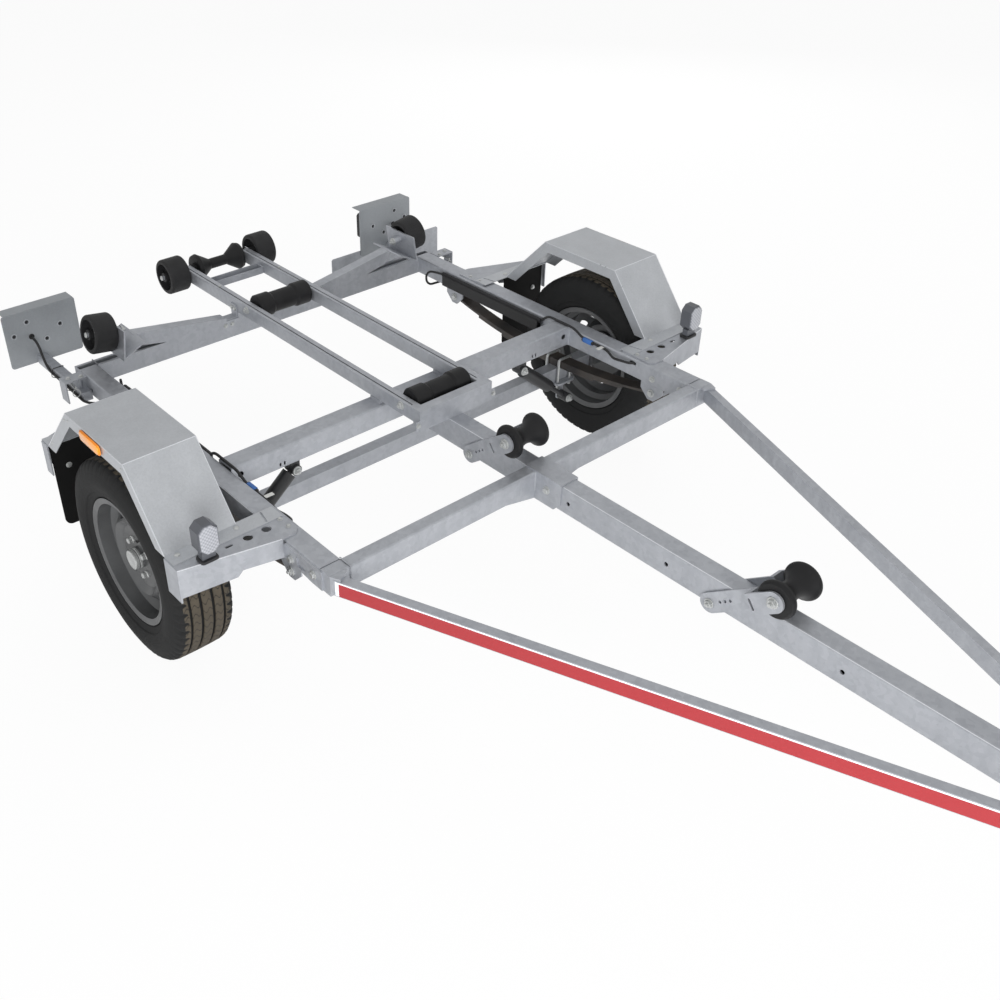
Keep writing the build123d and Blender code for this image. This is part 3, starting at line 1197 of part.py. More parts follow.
# ---------------------------------------------------------------- jockey wheel
jockey_x = 64.0
jockey_y = -2470.0
jockey_tube_radius = 24.0
jockey_leg_radius = 19.0
jockey_wheel_radius = 100.0
jockey_wheel_width = 60.0
jockey_trail = 45.0
tube_rise = 250.0
tube_cap = 12.0
tube_drop = 20.0
tube_clamp = (45.0, 12.0, 8.0)     # half length; gaps to the drawbar's lower and upper edge
leg_clearance = 0.3
leg_travel = 120.0
leg_end_gap = 6.0
leg_over_wheel = 50.0
handle_arm = (120.0, 18.0, 6.0)    # reach, width, thickness
handle_lift = 20.0
handle_grip = (74.0, 11.0)         # length, radius
tube_top = frame_top + tube_rise
tube_bottom = drawbar_bottom - tube_drop
leg_bottom = 2 * jockey_wheel_radius + leg_over_wheel
with BuildPart() as jockey_tube:
    rod((jockey_x, jockey_y, tube_bottom), (jockey_x, jockey_y, tube_top), jockey_tube_radius)
    # clamp to the drawbar's side
    clamp_half, clamp_low, clamp_high = tube_clamp
    block(half_bar, jockey_x, jockey_y - clamp_half, jockey_y + clamp_half, drawbar_bottom + clamp_low,
          frame_top - clamp_high)
    rod((jockey_x, jockey_y, tube_bottom), (jockey_x, jockey_y, tube_top - tube_cap),
        jockey_leg_radius + leg_clearance, Mode.SUBTRACT)
    # crank on top
    reach, arm_width, arm_wall = handle_arm
    arm_z = tube_top + handle_lift
    rod((jockey_x, jockey_y, tube_top), (jockey_x, jockey_y, arm_z + arm_wall), pin_radius)
    block(jockey_x - arm_width / 2, jockey_x + arm_width / 2, jockey_y - reach - arm_width / 2,
          jockey_y + arm_width / 2, arm_z, arm_z + arm_wall)
    rod((jockey_x, jockey_y - reach, arm_z + arm_wall), (jockey_x, jockey_y - reach, arm_z + handle_grip[0]),
        handle_grip[1])
keep("jockey_tube", jockey_tube)

with BuildPart() as jockey_leg:
    leg_top = tube_top - tube_cap - leg_travel - leg_end_gap
    rod((jockey_x, jockey_y, leg_bottom), (jockey_x, jockey_y, leg_top), jockey_leg_radius)
keep("jockey_leg", jockey_leg)

fork_gap = jockey_wheel_width / 2 + 3
fork_wall = 5.0
fork_plate = 8.0
fork_half = 26.0
fork_foot = (18.0, 16.0)           # half width at the axle, how far below it
jockey_axle_y = jockey_y + jockey_trail
fork_top = leg_bottom - leg_clearance
fork_outer = fork_gap + fork_wall
with BuildPart() as jockey_fork:
    block(jockey_x - fork_outer, jockey_x + fork_outer, jockey_y - fork_half, jockey_axle_y + fork_half,
          fork_top - fork_plate, fork_top)
    for side, name in sides:
        foot_z = jockey_wheel_radius - fork_foot[1]
        prism(Plane.YZ.offset(jockey_x + side * fork_gap), [
            (jockey_y - fork_half, fork_top), (jockey_axle_y + fork_half, fork_top),
            (jockey_axle_y + fork_foot[0], foot_z), (jockey_axle_y - fork_foot[0], foot_z)], side * fork_wall)
    pin_half = fork_outer + 3
    across(jockey_axle_y, jockey_wheel_radius, jockey_x - pin_half, jockey_x + pin_half, pin_radius)
keep("jockey_fork", jockey_fork)

with BuildPart() as jockey_wheel:
    half = jockey_wheel_width / 2
    tyre_inner = jockey_wheel_radius - 24
    half_outline = [(half, 24), (half, 30), (half - 12, 34), (half - 12, tyre_inner),
                    (half - 2, tyre_inner + 4), (half - 2, jockey_wheel_radius - 8),
                    (half - 10, jockey_wheel_radius - 1)]
    turned((jockey_x, jockey_axle_y, jockey_wheel_radius),
           mirrored(half_outline, -1) + [(0, jockey_wheel_radius)] + half_outline[::-1], bore)
keep("jockey_wheel", jockey_wheel)

# ---------------------------------------------------------------- stored frame
# The origin is on the floor under the middle of the whole trailer.
boxes = [piece.bounding_box() for piece in pieces.values()]
middle_y = (min(box.min.Y for box in boxes) + max(box.max.Y for box in boxes)) / 2
for name, piece in pieces.items():
    moved = piece.moved(Location((0, -middle_y, 0)))
    moved.label = name
    export_step(moved, f"parts/{name}.step")
print("middle_y", round(middle_y, 4), "nodes", len(pieces))
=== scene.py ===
import bpy
import bmesh
import json
from math import cos, pi, radians, sin, tau
from mathutils import Matrix, Vector


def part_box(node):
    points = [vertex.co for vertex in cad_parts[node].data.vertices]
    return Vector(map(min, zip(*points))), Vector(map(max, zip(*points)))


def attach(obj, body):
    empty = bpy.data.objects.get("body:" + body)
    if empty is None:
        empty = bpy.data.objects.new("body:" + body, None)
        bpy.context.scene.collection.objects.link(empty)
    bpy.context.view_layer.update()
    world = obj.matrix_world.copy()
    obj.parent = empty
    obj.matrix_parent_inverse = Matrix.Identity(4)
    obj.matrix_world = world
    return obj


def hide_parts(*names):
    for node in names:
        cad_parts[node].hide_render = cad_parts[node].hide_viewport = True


# A galvanised boat trailer: finishes, tyres, fasteners, lamps, tapes and cables, set on
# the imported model. Metres; -Y is forward and +X is the trailer's own left-hand side.
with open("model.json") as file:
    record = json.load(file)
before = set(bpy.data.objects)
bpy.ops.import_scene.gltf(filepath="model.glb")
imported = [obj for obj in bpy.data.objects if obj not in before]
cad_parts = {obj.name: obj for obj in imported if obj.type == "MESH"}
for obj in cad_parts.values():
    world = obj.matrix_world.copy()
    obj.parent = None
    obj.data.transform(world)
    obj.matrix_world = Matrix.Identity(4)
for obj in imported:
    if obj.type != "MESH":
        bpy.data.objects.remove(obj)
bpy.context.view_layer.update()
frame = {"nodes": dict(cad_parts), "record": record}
nodes = frame["nodes"]
SIDES = ((-1, "right"), (1, "left"))


def middle(node):
    """The middle of a node's box."""
    low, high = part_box(node)
    return (Vector(low) + Vector(high)) / 2


# ---------------------------------------------------------------- shader expressions
class Channel:
    """One output of a shader node. Arithmetic on it adds Math nodes."""

    def __init__(self, finish, socket):
        self.finish = finish
        self.socket = socket

    def maths(self, operation, *values):
        return self.finish.node("ShaderNodeMath", {"operation": operation}, list(values))

    def __add__(self, other):
        return self.maths("ADD", self, other)

    def __radd__(self, other):
        return self.maths("ADD", other, self)

    def __sub__(self, other):
        return self.maths("SUBTRACT", self, other)

    def __rsub__(self, other):
        return self.maths("SUBTRACT", other, self)

    def __mul__(self, other):
        return self.maths("MULTIPLY", self, other)

    def __rmul__(self, other):
        return self.maths("MULTIPLY", other, self)

    def __truediv__(self, other):
        return self.maths("DIVIDE", self, other)

    def __gt__(self, other):
        return self.maths("GREATER_THAN", self, other)

    def __lt__(self, other):
        return self.maths("LESS_THAN", self, other)

    def sine(self):
        return self.maths("SINE", self)

    def absolute(self):
        return self.maths("ABSOLUTE", self)

    def fraction(self):
        return self.maths("FRACT", self)

    def limited(self):
        """Held between 0 and 1."""
        return self.finish.node("ShaderNodeClamp", {}, [self])


class Finish:
    """A material whose nodes are written as expressions."""

    def __init__(self, name, **shader_values):
        self.material = bpy.data.materials.new(name)
        self.material.use_nodes = True
        self.tree = self.material.node_tree
        self.tree.nodes.clear()
        self.output = self.tree.nodes.new("ShaderNodeOutputMaterial")
        self.shader = self.tree.nodes.new("ShaderNodeBsdfPrincipled")
        self.tree.links.new(self.shader.outputs[0], self.output.inputs["Surface"])
        for socket, value in shader_values.items():
            self.set(socket.replace("_", " "), value)

    def feed(self, socket, value):
        """A link or a plain value into a socket."""
        if isinstance(value, Channel):
            self.tree.links.new(value.socket, socket)
        elif hasattr(socket.default_value, "__len__") and not hasattr(value, "__len__"):
            socket.default_value = [value] * len(socket.default_value)
        else:
            socket.default_value = value

    def set(self, socket, value):
        self.feed(self.shader.inputs[socket], value)

    def node(self, kind, settings=None, inputs=(), output=0):
        """A node of a kind: its settings first, then its inputs by place or by name."""
        made = self.tree.nodes.new(kind)
        for key, value in (settings or {}).items():
            if key == "stops":
                ramp = made.color_ramp
                while len(ramp.elements) < len(value):
                    ramp.elements.new(0.5)
                for element, (position, colour) in zip(ramp.elements, value):
                    element.position = position
                    element.color = colour
            else:
                setattr(made, key, value)
        pairs = inputs.items() if isinstance(inputs, dict) else enumerate(inputs)
        for key, value in pairs:
            self.feed(made.inputs[key], value)
        return Channel(self, made.outputs[output])

    def place(self):
        """The object coordinates, which stay with the piece."""
        return self.node("ShaderNodeTexCoord", output="Object")

    def axes(self, place):
        """The three coordinates of a place."""
        return [self.node("ShaderNodeSeparateXYZ", {}, [place], output=i) for i in range(3)]

    def noise(self, place, scale, detail=3.0, roughness=0.5):
        wanted = {"Vector": place, "Scale": scale, "Detail": detail, "Roughness": roughness}
        return self.node("ShaderNodeTexNoise", {}, wanted, output="Fac")

    def stretched(self, place, scale):
        """Coordinates scaled along each axis, for streaks and grain."""
        return self.node("ShaderNodeMapping", {}, {"Vector": place, "Scale": scale})

    def mix(self, share, first, second):
        """A colour between two colours."""
        wanted = {0: share, 6: first, 7: second}
        return self.node("ShaderNodeMix", {"data_type": "RGBA"}, wanted, output=2)

    def bump(self, height, strength, distance):
        wanted = {"Strength": strength, "Distance": distance, "Height": height}
        self.set("Normal", self.node("ShaderNodeBump", {}, wanted))


def rgb(red, green, blue):
    """A colour given as it looks on a screen, 0 to 255, as linear values."""
    def linear(value):
        share = value / 255
        return share / 12.92 if share <= 0.04045 else ((share + 0.055) / 1.055) ** 2.4
    return (linear(red), linear(green), linear(blue), 1.0)


# ---------------------------------------------------------------- finishes
def galvanised(name, light, dark, crystal, rough, streak):
    """Hot-dip zinc: crystals of slightly different grey, clouds, drips and dull patches."""
    finish = Finish(name, Metallic=0.72)
    place = finish.place()
    crystals = finish.node("ShaderNodeTexVoronoi", {}, {"Vector": place, "Scale": crystal}, output="Color")
    grain = finish.node("ShaderNodeSeparateColor", {}, [crystals], output=0)
    clouds = finish.noise(place, 7.0, 4.0)
    drips = finish.noise(finish.stretched(place, (26.0, 26.0, 3.0)), streak, 2.0)
    fine = finish.noise(place, 420.0, 2.0)
    tone = (grain * 0.22 + clouds * 0.34 + drips * 0.40 + fine * 0.16 - 0.06).limited()
    finish.set("Base Color", finish.mix(tone, dark, light))
    finish.set("Roughness", (rough + grain * 0.10 + clouds * 0.14 - 0.08).limited())
    finish.bump(grain * 0.20 + clouds * 0.5 + fine * 0.16, 0.18, 0.0010)
    return finish


def zinc_plated():
    """Bright zinc-plated nuts, bolts and rings."""
    finish = Finish("zinc_plated", Metallic=0.85)
    place = finish.place()
    grain = finish.noise(place, 300.0, 3.0)
    finish.set("Base Color", finish.mix(grain, rgb(176, 178, 176), rgb(226, 228, 228)))
    finish.set("Roughness", 0.24 + grain * 0.2)
    finish.bump(grain, 0.15, 0.0004)
    return finish


def rubber(name, dark, light, rough):
    """Moulded black rubber with a dusty bloom."""
    finish = Finish(name, Specular_IOR_Level=0.35)
    place = finish.place()
    cloud = finish.noise(place, 18.0, 5.0)
    grain = finish.noise(place, 500.0, 2.0)
    finish.set("Base Color", finish.mix((cloud * 1.3 - 0.25).limited(), dark, light))
    finish.set("Roughness", (rough + cloud * 0.22 - 0.06).limited())
    finish.bump(grain, 0.25, 0.0006)
    return finish


def ribbed_rubber(name, node, axis_tilt):
    """Roller rubber with shallow moulded grooves along and around it."""
    finish = Finish(name, Specular_IOR_Level=0.4)
    x0, y0, z0 = middle(node)
    place = finish.place()
    centred = finish.node("ShaderNodeMapping", {"vector_type": "TEXTURE"},
                          {"Vector": place, "Location": (x0, y0, z0), "Rotation": (0, axis_tilt, 0)})
    along, across, up = finish.axes(centred)
    angle = across.maths("ARCTAN2", up, across)
    cloud = finish.noise(place, 30.0, 4.0)
    groove = ((angle * (ROLLER_GROOVES / tau)).fraction() - 0.5).absolute()
    ring = ((along * ROLLER_RINGS).fraction() - 0.5).absolute()
    cut = (groove < 0.08) + (ring < 0.07)
    finish.set("Base Color", finish.mix(cloud, rgb(16, 16, 17), rgb(42, 42, 43)))
    finish.set("Roughness", 0.46 + cloud * 0.2)
    finish.bump(1.0 - cut.limited() + finish.noise(place, 420.0) * 0.2, 0.5, 0.0012)
    return finish


def tyre_rubber(name, side, wheel_x, axle_y, axle_z):
    """Tread dusted brown-grey between dark grooves, with wavy sipes, and dark side walls."""
    finish = Finish(name, Specular_IOR_Level=0.3)
    place = finish.place()
    centred = finish.node("ShaderNodeVectorMath", {"operation": "SUBTRACT"},
                          [place, (side * wheel_x, axle_y, axle_z)])
    across, along, up = finish.axes(centred)
    radius = along.maths("SQRT", along * along + up * up)
    angle = along.maths("ARCTAN2", up, along)
    wave = (across * 310.0).sine() * 0.22
    sipe = ((angle * (SIPES / tau) + wave).fraction() - 0.5).absolute() < 0.055
    on_tread = (radius > tyre_radius - 0.0035) * (across.absolute() < tread_half)
    cloud = finish.noise(place, 40.0, 5.0)
    grit = finish.noise(place, 380.0, 2.0)
    dust = (on_tread * (0.45 + cloud * 0.5) * (1.0 - sipe * 0.8)).limited()
    base = finish.mix(cloud, rgb(20, 21, 22), rgb(36, 36, 36))
    finish.set("Base Color", finish.mix(dust, base, rgb(84, 77, 66)))
    finish.set("Roughness", 0.62 + cloud * 0.2)
    on_wall = (radius < tyre_radius - 0.030) * (radius > tyre_radius - 0.085)
    off_gap = (radius < tyre_radius - 0.044) + (radius > tyre_radius - 0.036)
    rings = (radius * 1250.0).sine() * on_wall * off_gap
    spokes = (angle * 130.0).sine() * ((radius < tyre_radius - 0.012) * (radius > tyre_radius - 0.024))
    finish.bump(grit * 0.3 + (1.0 - sipe * on_tread) * 0.9 + rings * 0.22 + spokes * 0.25, 0.55, 0.0012)
    return finish


def painted(name, colour, worn, rough, metallic=0.0, coat=0.2):
    """Sprayed paint with fine orange peel and faint wear."""
    finish = Finish(name, Metallic=metallic, Coat_Weight=coat, Coat_Roughness=0.25)
    place = finish.place()
    cloud = finish.noise(place, 12.0, 4.0)
    peel = finish.noise(place, 260.0, 2.0)
    finish.set("Base Color", finish.mix((cloud * 1.4 - 0.3).limited(), colour, worn))
    finish.set("Roughness", (rough + cloud * 0.14).limited())
    finish.bump(peel, 0.12, 0.0006)
    return finish


def moulded(name, colour, rough):
    """Moulded plastic with a fine eroded grain."""
    finish = Finish(name)
    place = finish.place()
    grain = finish.noise(place, 600.0, 2.0)
    cloud = finish.noise(place, 14.0, 3.0)
    pale = tuple(min(1.0, value * 1.5 + 0.01) for value in colour[:3]) + (1.0,)
    finish.set("Base Color", finish.mix(cloud, colour, pale))
    finish.set("Roughness", rough + grain * 0.12)
    finish.bump(grain, 0.2, 0.0003)
    return finish


def lens(name, colour, pale, cell):
    """A lamp lens: ribbed coloured plastic with moulded prism cells, each painted paler as a painted glint.
    """
    finish = Finish(name, Roughness=0.12, Coat_Weight=0.6, Coat_Roughness=0.05)
    place = finish.place()
    x, _, z = finish.axes(place)
    lattice = ((x * cell).sine() * (z * cell).sine() * 0.5 + 0.5).limited()
    # the paler colour on the cells is a painted glint of the prisms
    finish.set("Base Color", finish.mix(lattice, colour, pale))
    finish.bump(lattice, 0.35, 0.001)
    return finish


def tape(name, colour, pale, cell):
    """Reflective film: fine honeycomb cells under a clear coat."""
    finish = Finish(name, Coat_Weight=0.35, Coat_Roughness=0.3)
    place = finish.place()
    cells = finish.node("ShaderNodeTexVoronoi", {"feature": "DISTANCE_TO_EDGE"},
                        {"Vector": place, "Scale": cell}, output="Distance")
    cloud = finish.noise(place, 9.0, 3.0)
    edge = (cells < 0.06) * 0.35
    finish.set("Base Color", finish.mix((edge + cloud * 0.3).limited(), colour, pale))
    finish.set("Roughness", 0.34 + cloud * 0.14)
    finish.bump(cells, 0.12, 0.0004)
    return finish


def corrugated(name, dark, light, pitch):
    """Split loom tubing with rings along the Y axis; its colour is painted lighter on the ring crests and
    darker in the troughs, painted highlight and shade.
    """
    finish = Finish(name, Specular_IOR_Level=0.4)
    place = finish.place()
    _, along, _ = finish.axes(place)
    wave = (along * (tau / pitch)).sine() * 0.5 + 0.5
    cloud = finish.noise(place, 60.0, 3.0)
    # painted highlight on the crests and painted shade in the troughs, with a random cloud
    finish.set("Base Color", finish.mix((wave * 0.7 + cloud * 0.3).limited(), dark, light))
    finish.set("Roughness", 0.45 + cloud * 0.15)
    finish.bump(wave, 0.9, 0.0015)
    return finish


# sizes of the wheels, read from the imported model
tyre_low, tyre_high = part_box("tyre_left")
tyre_radius = (tyre_high[2] - tyre_low[2]) / 2
tyre_half = (tyre_high[0] - tyre_low[0]) / 2
wheel_x = (tyre_high[0] + tyre_low[0]) / 2
axle_y = (tyre_high[1] + tyre_low[1]) / 2
axle_z = (tyre_high[2] + tyre_low[2]) / 2
tread_half = tyre_half * 0.76
# how many sipes and shoulder grooves go round a tyre, and how many grooves round a roller
SIPES = 66
PITCHES = 60
ROLLER_GROOVES = 44
ROLLER_RINGS = 190.0       # rings to a metre of roller
ROLLER_LEAN = radians(9.0)  # how far the side rollers' axes lean

zinc = galvanised("zinc_tube", rgb(204, 207, 212), rgb(150, 153, 160), 90.0, 0.42, 1.0)
zinc_sheet = galvanised("zinc_sheet", rgb(210, 213, 217), rgb(174, 177, 181), 260.0, 0.36, 0.7)
# the light boards' zinc: a darker copy of the sheet zinc, painted shade on the boards
shaded_zinc_board = galvanised("shaded_zinc_board", rgb(176, 180, 184), rgb(146, 150, 154), 260.0, 0.4, 0.7)
plated = zinc_plated()
# a brighter copy of the zinc for the bright wires on bends and edges: painted highlight
highlight_zinc = galvanised("painted_highlight_zinc", rgb(238, 240, 244), rgb(214, 217, 222), 120.0, 0.30, 0.7)
# the wheels' paint made darker than its own colour: painted shade on the wheels
shaded_silver = painted("wheel_silver", rgb(98, 99, 100), rgb(78, 79, 80), 0.34, 0.5, 0.3)
black_rubber = rubber("roller_black", rgb(11, 11, 12), rgb(30, 30, 31), 0.42)
solid_rubber = rubber("jockey_black", rgb(30, 30, 32), rgb(70, 70, 70), 0.55)
flap_black = rubber("flap_black", rgb(3, 3, 3), rgb(10, 10, 10), 0.7)
spring_black = painted("spring_black", rgb(34, 34, 36), rgb(84, 76, 68), 0.45)
damper_black = painted("damper_black", rgb(24, 25, 26), rgb(50, 50, 52), 0.34, 0.0, 0.4)
housing_black = moulded("housing_black", rgb(24, 24, 26), 0.42)
sheath_black = moulded("sheath_black", rgb(22, 22, 23), 0.5)
clear_lens = lens("clear_lens", rgb(128, 130, 136), rgb(164, 166, 172), 620.0)
red_lens = lens("red_lens", rgb(150, 12, 14), rgb(214, 40, 36), 700.0)
amber_lens = lens("amber_lens", rgb(240, 138, 16), rgb(255, 178, 60), 700.0)
amber_reflector = lens("amber_reflector", rgb(236, 132, 22), rgb(255, 182, 74), 1500.0)
red_reflector = lens("red_reflector", rgb(170, 18, 20), rgb(226, 62, 54), 1500.0)
amber_base = moulded("reflector_base", rgb(206, 120, 28), 0.4)
smoked = moulded("smoked_hood", rgb(70, 72, 77), 0.24)
red_tape = tape("red_tape", rgb(148, 22, 30), rgb(160, 44, 50), 360.0)
white_tape = tape("white_tape", rgb(214, 218, 224), rgb(240, 242, 246), 360.0)
conduit = corrugated("conduit_black", rgb(20, 20, 21), rgb(52, 52, 54), 0.0028)
connector_blue = moulded("connector_blue", rgb(44, 84, 140), 0.4)
tag_white = painted("tag_white", rgb(206, 207, 205), rgb(188, 188, 184), 0.5)
grommet_black = moulded("grommet_black", rgb(20, 20, 21), 0.5)
grip_black = rubber("grip_black", rgb(26, 26, 27), rgb(48, 48, 50), 0.5)

slot_finish = {
    "galvanised_steel": zinc, "galvanised_sheet": zinc_sheet, "wheel_paint": shaded_silver,
    "roller_rubber": black_rubber, "jockey_rubber": solid_rubber, "flap_rubber": flap_black,
    "lamp_housing": housing_black, "lamp_lens": clear_lens, "spring_steel": spring_black,
    "damper_paint": damper_black, "cable_sheath": sheath_black, "tyre": solid_rubber,
}
node_slot = {part["node"]: part["material_slot"] for part in frame["record"]["subparts"]}
# the light boards take the darker zinc, painted shade
node_finish = {"position_lamps": smoked, "light_board_left": shaded_zinc_board, "light_board_right": shaded_zinc_board}
for side, name in SIDES:
    for label, node, tilt in (("ribbed", f"side_roller_{name}", -side * ROLLER_LEAN),
                              ("rear_ribbed", f"rear_roller_{name}", 0.0)):
        node_finish[node] = ribbed_rubber(f"{label}_{name}", node, tilt)
for name, node in nodes.items():
    for held in node.material_slots:
        held.material = node_finish.get(name, slot_finish[node_slot[name]]).material


# ---------------------------------------------------------------- making pieces
def piece(name, mesh, finish, body="trailer", smooth_angle=35):
    """An object from a mesh, finished and riding on its body."""
    made = bpy.data.objects.new(name, mesh)
    bpy.context.scene.collection.objects.link(made)
    mesh.materials.clear()
    mesh.materials.append(finish.material)
    mesh.shade_smooth()
    mesh.set_sharp_from_angle(angle=radians(smooth_angle))
    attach(made, body)
    return made


def turned(profile, centre, steps, cut=None):
    """A ring turned about an X axis from (x, radius) points; cut(step, x, radius) gives a radius."""
    mesh = bpy.data.meshes.new("turned")
    work = bmesh.new()
    rings = []
    for step in range(steps):
        angle = tau * step / steps
        ring = []
        for x, radius in profile:
            r = cut(step, x, radius) if cut else radius
            place = (centre[0] + x, centre[1] + r * cos(angle), centre[2] + r * sin(angle))
            ring.append(work.verts.new(place))
        rings.append(ring)
    for step in range(steps):
        here, ahead = rings[step], rings[(step + 1) % steps]
        for i in range(len(profile)):
            j = (i + 1) % len(profile)
            work.faces.new((here[i], here[j], ahead[j], ahead[i]))
    bmesh.ops.recalc_face_normals(work, faces=work.faces)
    work.to_mesh(mesh)
    work.free()
    return mesh


# ---------------------------------------------------------------- tyres
def tyre_profile():
    """Half of the tyre's section from the tread's middle to the bead, as (x, radius)."""
    groove = 0.0075
    crown = tyre_radius
    half = []
    for centre, width in ((0.0165, 0.0085), (0.047, 0.0075)):
        half += [(centre - width / 2, crown - centre * 0.02), (centre - width / 2 + 0.001, crown - groove),
                 (centre + width / 2 - 0.001, crown - groove), (centre + width / 2, crown - centre * 0.03)]
    half += [(0.058, crown - 0.0015), (tread_half, crown - 0.004), (tread_half + 0.008, crown - 0.011),
             (tyre_half - 0.007, crown - 0.026), (tyre_half - 0.001, crown - 0.046),
             (tyre_half, crown - 0.058), (tyre_half - 0.0015, crown - 0.070),
             (tyre_half - 0.006, crown - 0.084), (tyre_half - 0.010, crown - 0.087),
             (tyre_half - 0.013, crown - 0.096), (0.0735, 0.186), (0.068, 0.1825), (0.064, 0.176),
             (0.064, 0.168)]
    return half


def shoulder_cut(step, x, radius):
    """Lateral grooves across the shoulders, one to a pitch."""
    if step % 4 == 0 and 0.052 < abs(x) < tread_half + 0.009 and radius > tyre_radius - 0.012:
        return radius - 0.0045
    return radius


for side, name in SIDES:
    half = tyre_profile()
    profile = [(-x, r) for x, r in reversed(half)] + half
    mesh = turned(profile, (side * wheel_x, axle_y, axle_z), PITCHES * 4, shoulder_cut)
    finish = tyre_rubber(f"tyre_rubber_{name}", side, wheel_x, axle_y, axle_z)
    tread = piece(f"tread_tyre_{name}", mesh, finish, f"road_wheel_{name}", 28)
    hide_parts(f"tyre_{name}")


# ---------------------------------------------------------------- helpers of the small pieces
def at(x, y, z):
    """A place in metres from millimetres off the middle line, the axle and the floor."""
    return Vector((x / 1000, axle_y + y / 1000, z / 1000))


SEAT_REACH = 0.06


def seat(node, place, facing):
    """Where a line along `facing` first meets a node from outside; the place itself where it misses."""
    aim = Vector(facing).normalized()
    hit, spot, _, _ = nodes[node].ray_cast(place + aim * SEAT_REACH, -aim, distance=2 * SEAT_REACH)
    return spot if hit else place


def stacked(name, shells):
    """A template from shells: corners, (radius, height) pairs, and whether the top is closed."""
    mesh = bpy.data.meshes.new(name)
    work = bmesh.new()
    for corners, rings, closed in shells:
        below = None
        for radius, height in rings:
            ring = [work.verts.new((radius * cos(tau * i / corners), radius * sin(tau * i / corners), height))
                    for i in range(corners)]
            for i in range(corners if below else 0):
                j = (i + 1) % corners
                work.faces.new((below[i], below[j], ring[j], ring[i]))
            below = ring
        if closed:
            work.faces.new(below)
    work.to_mesh(mesh)
    work.free()
    return bpy.data.objects.new(name, mesh)


WASHER = (12, ((1.0, -0.10), (1.0, 0.14), (0.93, 0.20)), True)
HEXAGON = (6, ((0.74, 0.16), (0.74, 0.58), (0.64, 0.68)), True)
STUD = (8, ((0.36, 0.66), (0.36, 0.98), (0.28, 1.06)), True)
templates = {
    "bolt": stacked("bolt_template", (WASHER, HEXAGON)),
    "nut": stacked("nut_template", (WASHER, HEXAGON, STUD)),
    "wheel_nut": stacked("wheel_nut_template", ((12, ((1.0, -0.15), (0.98, 0.25), (0.80, 0.45)), True),
                                                (6, ((0.80, 0.40), (0.80, 1.25), (0.66, 1.42)), True))),
    "rivet": stacked("rivet_template",
                     ((10, ((1.0, -0.10), (1.0, 0.14), (0.82, 0.34), (0.45, 0.48)), True),)),
    "rim": stacked("rim_template", ((12, ((1.0, -0.05), (0.94, 0.16), (0.74, 0.16), (0.66, -0.05)), False),)),
    "bead": stacked("bead_template", ((7, ((1.0, -0.30), (0.92, 0.20), (0.55, 0.52)), True),)),
}


def copier():
    """Nodes that set copies of an object on points, by each point's facing, size and turn."""
    tree = bpy.data.node_groups.new("copier", "GeometryNodeTree")
    tree.interface.new_socket("Points", in_out="INPUT", socket_type="NodeSocketGeometry")
    copy = tree.interface.new_socket("Copy", in_out="INPUT", socket_type="NodeSocketObject")
    coat = tree.interface.new_socket("Finish", in_out="INPUT", socket_type="NodeSocketMaterial")
    tree.interface.new_socket("Copies", in_out="OUTPUT", socket_type="NodeSocketGeometry")
    entry, leave = tree.nodes.new("NodeGroupInput"), tree.nodes.new("NodeGroupOutput")

    def read(name, kind):
        node = tree.nodes.new("GeometryNodeInputNamedAttribute")
        node.data_type = kind
        node.inputs["Name"].default_value = name
        return next(s for s in node.outputs if s.enabled and s.name == "Attribute")

    shape = tree.nodes.new("GeometryNodeObjectInfo")
    aim = tree.nodes.new("FunctionNodeAlignRotationToVector")
    aim.axis = "Z"
    spin = tree.nodes.new("FunctionNodeAxisAngleToRotation")
    spin.inputs["Axis"].default_value = (0, 0, 1)
    both = tree.nodes.new("FunctionNodeRotateRotation")
    both.rotation_space = "LOCAL"
    place = tree.nodes.new("GeometryNodeInstanceOnPoints")
    real = tree.nodes.new("GeometryNodeRealizeInstances")
    paint = tree.nodes.new("GeometryNodeSetMaterial")
    for start, end in (
            (entry.outputs["Copy"], shape.inputs["Object"]),
            (read("facing", "FLOAT_VECTOR"), aim.inputs["Vector"]),
            (read("turn", "FLOAT"), spin.inputs["Angle"]),
            (aim.outputs["Rotation"], both.inputs["Rotation"]),
            (spin.outputs["Rotation"], both.inputs["Rotate By"]),
            (entry.outputs["Points"], place.inputs["Points"]),
            (shape.outputs["Geometry"], place.inputs["Instance"]),
            (both.outputs["Rotation"], place.inputs["Rotation"]),
            (read("size", "FLOAT"), place.inputs["Scale"]),
            (place.outputs["Instances"], real.inputs["Geometry"]),
            (real.outputs["Geometry"], paint.inputs["Geometry"]),
            (entry.outputs["Finish"], paint.inputs["Material"]),
            (paint.outputs["Geometry"], leave.inputs["Copies"])):
        tree.links.new(start, end)
    return tree, copy.identifier, coat.identifier


copier_tree, copy_socket, coat_socket = copier()


def spread(name, kind, rows, finish, body="trailer", smooth_angle=35):
    """Copies of a template at rows of place, facing, size and turn, as one plain mesh."""
    mesh = bpy.data.meshes.new(name + "_points")
    mesh.from_pydata([tuple(row[0]) for row in rows], [], [])
    facing = mesh.attributes.new("facing", "FLOAT_VECTOR", "POINT")
    facing.data.foreach_set("vector", [value for row in rows for value in row[1]])
    for label, column in (("size", 2), ("turn", 3)):
        values = mesh.attributes.new(label, "FLOAT", "POINT")
        values.data.foreach_set("value", [row[column] for row in rows])
    holder = bpy.data.objects.new(name + "_points", mesh)
    bpy.context.scene.collection.objects.link(holder)
    copies = holder.modifiers.new("copies", "NODES")
    copies.node_group = copier_tree
    copies[copy_socket] = templates[kind]
    copies[coat_socket] = finish.material
    return settled(name, holder, finish, body, smooth_angle)


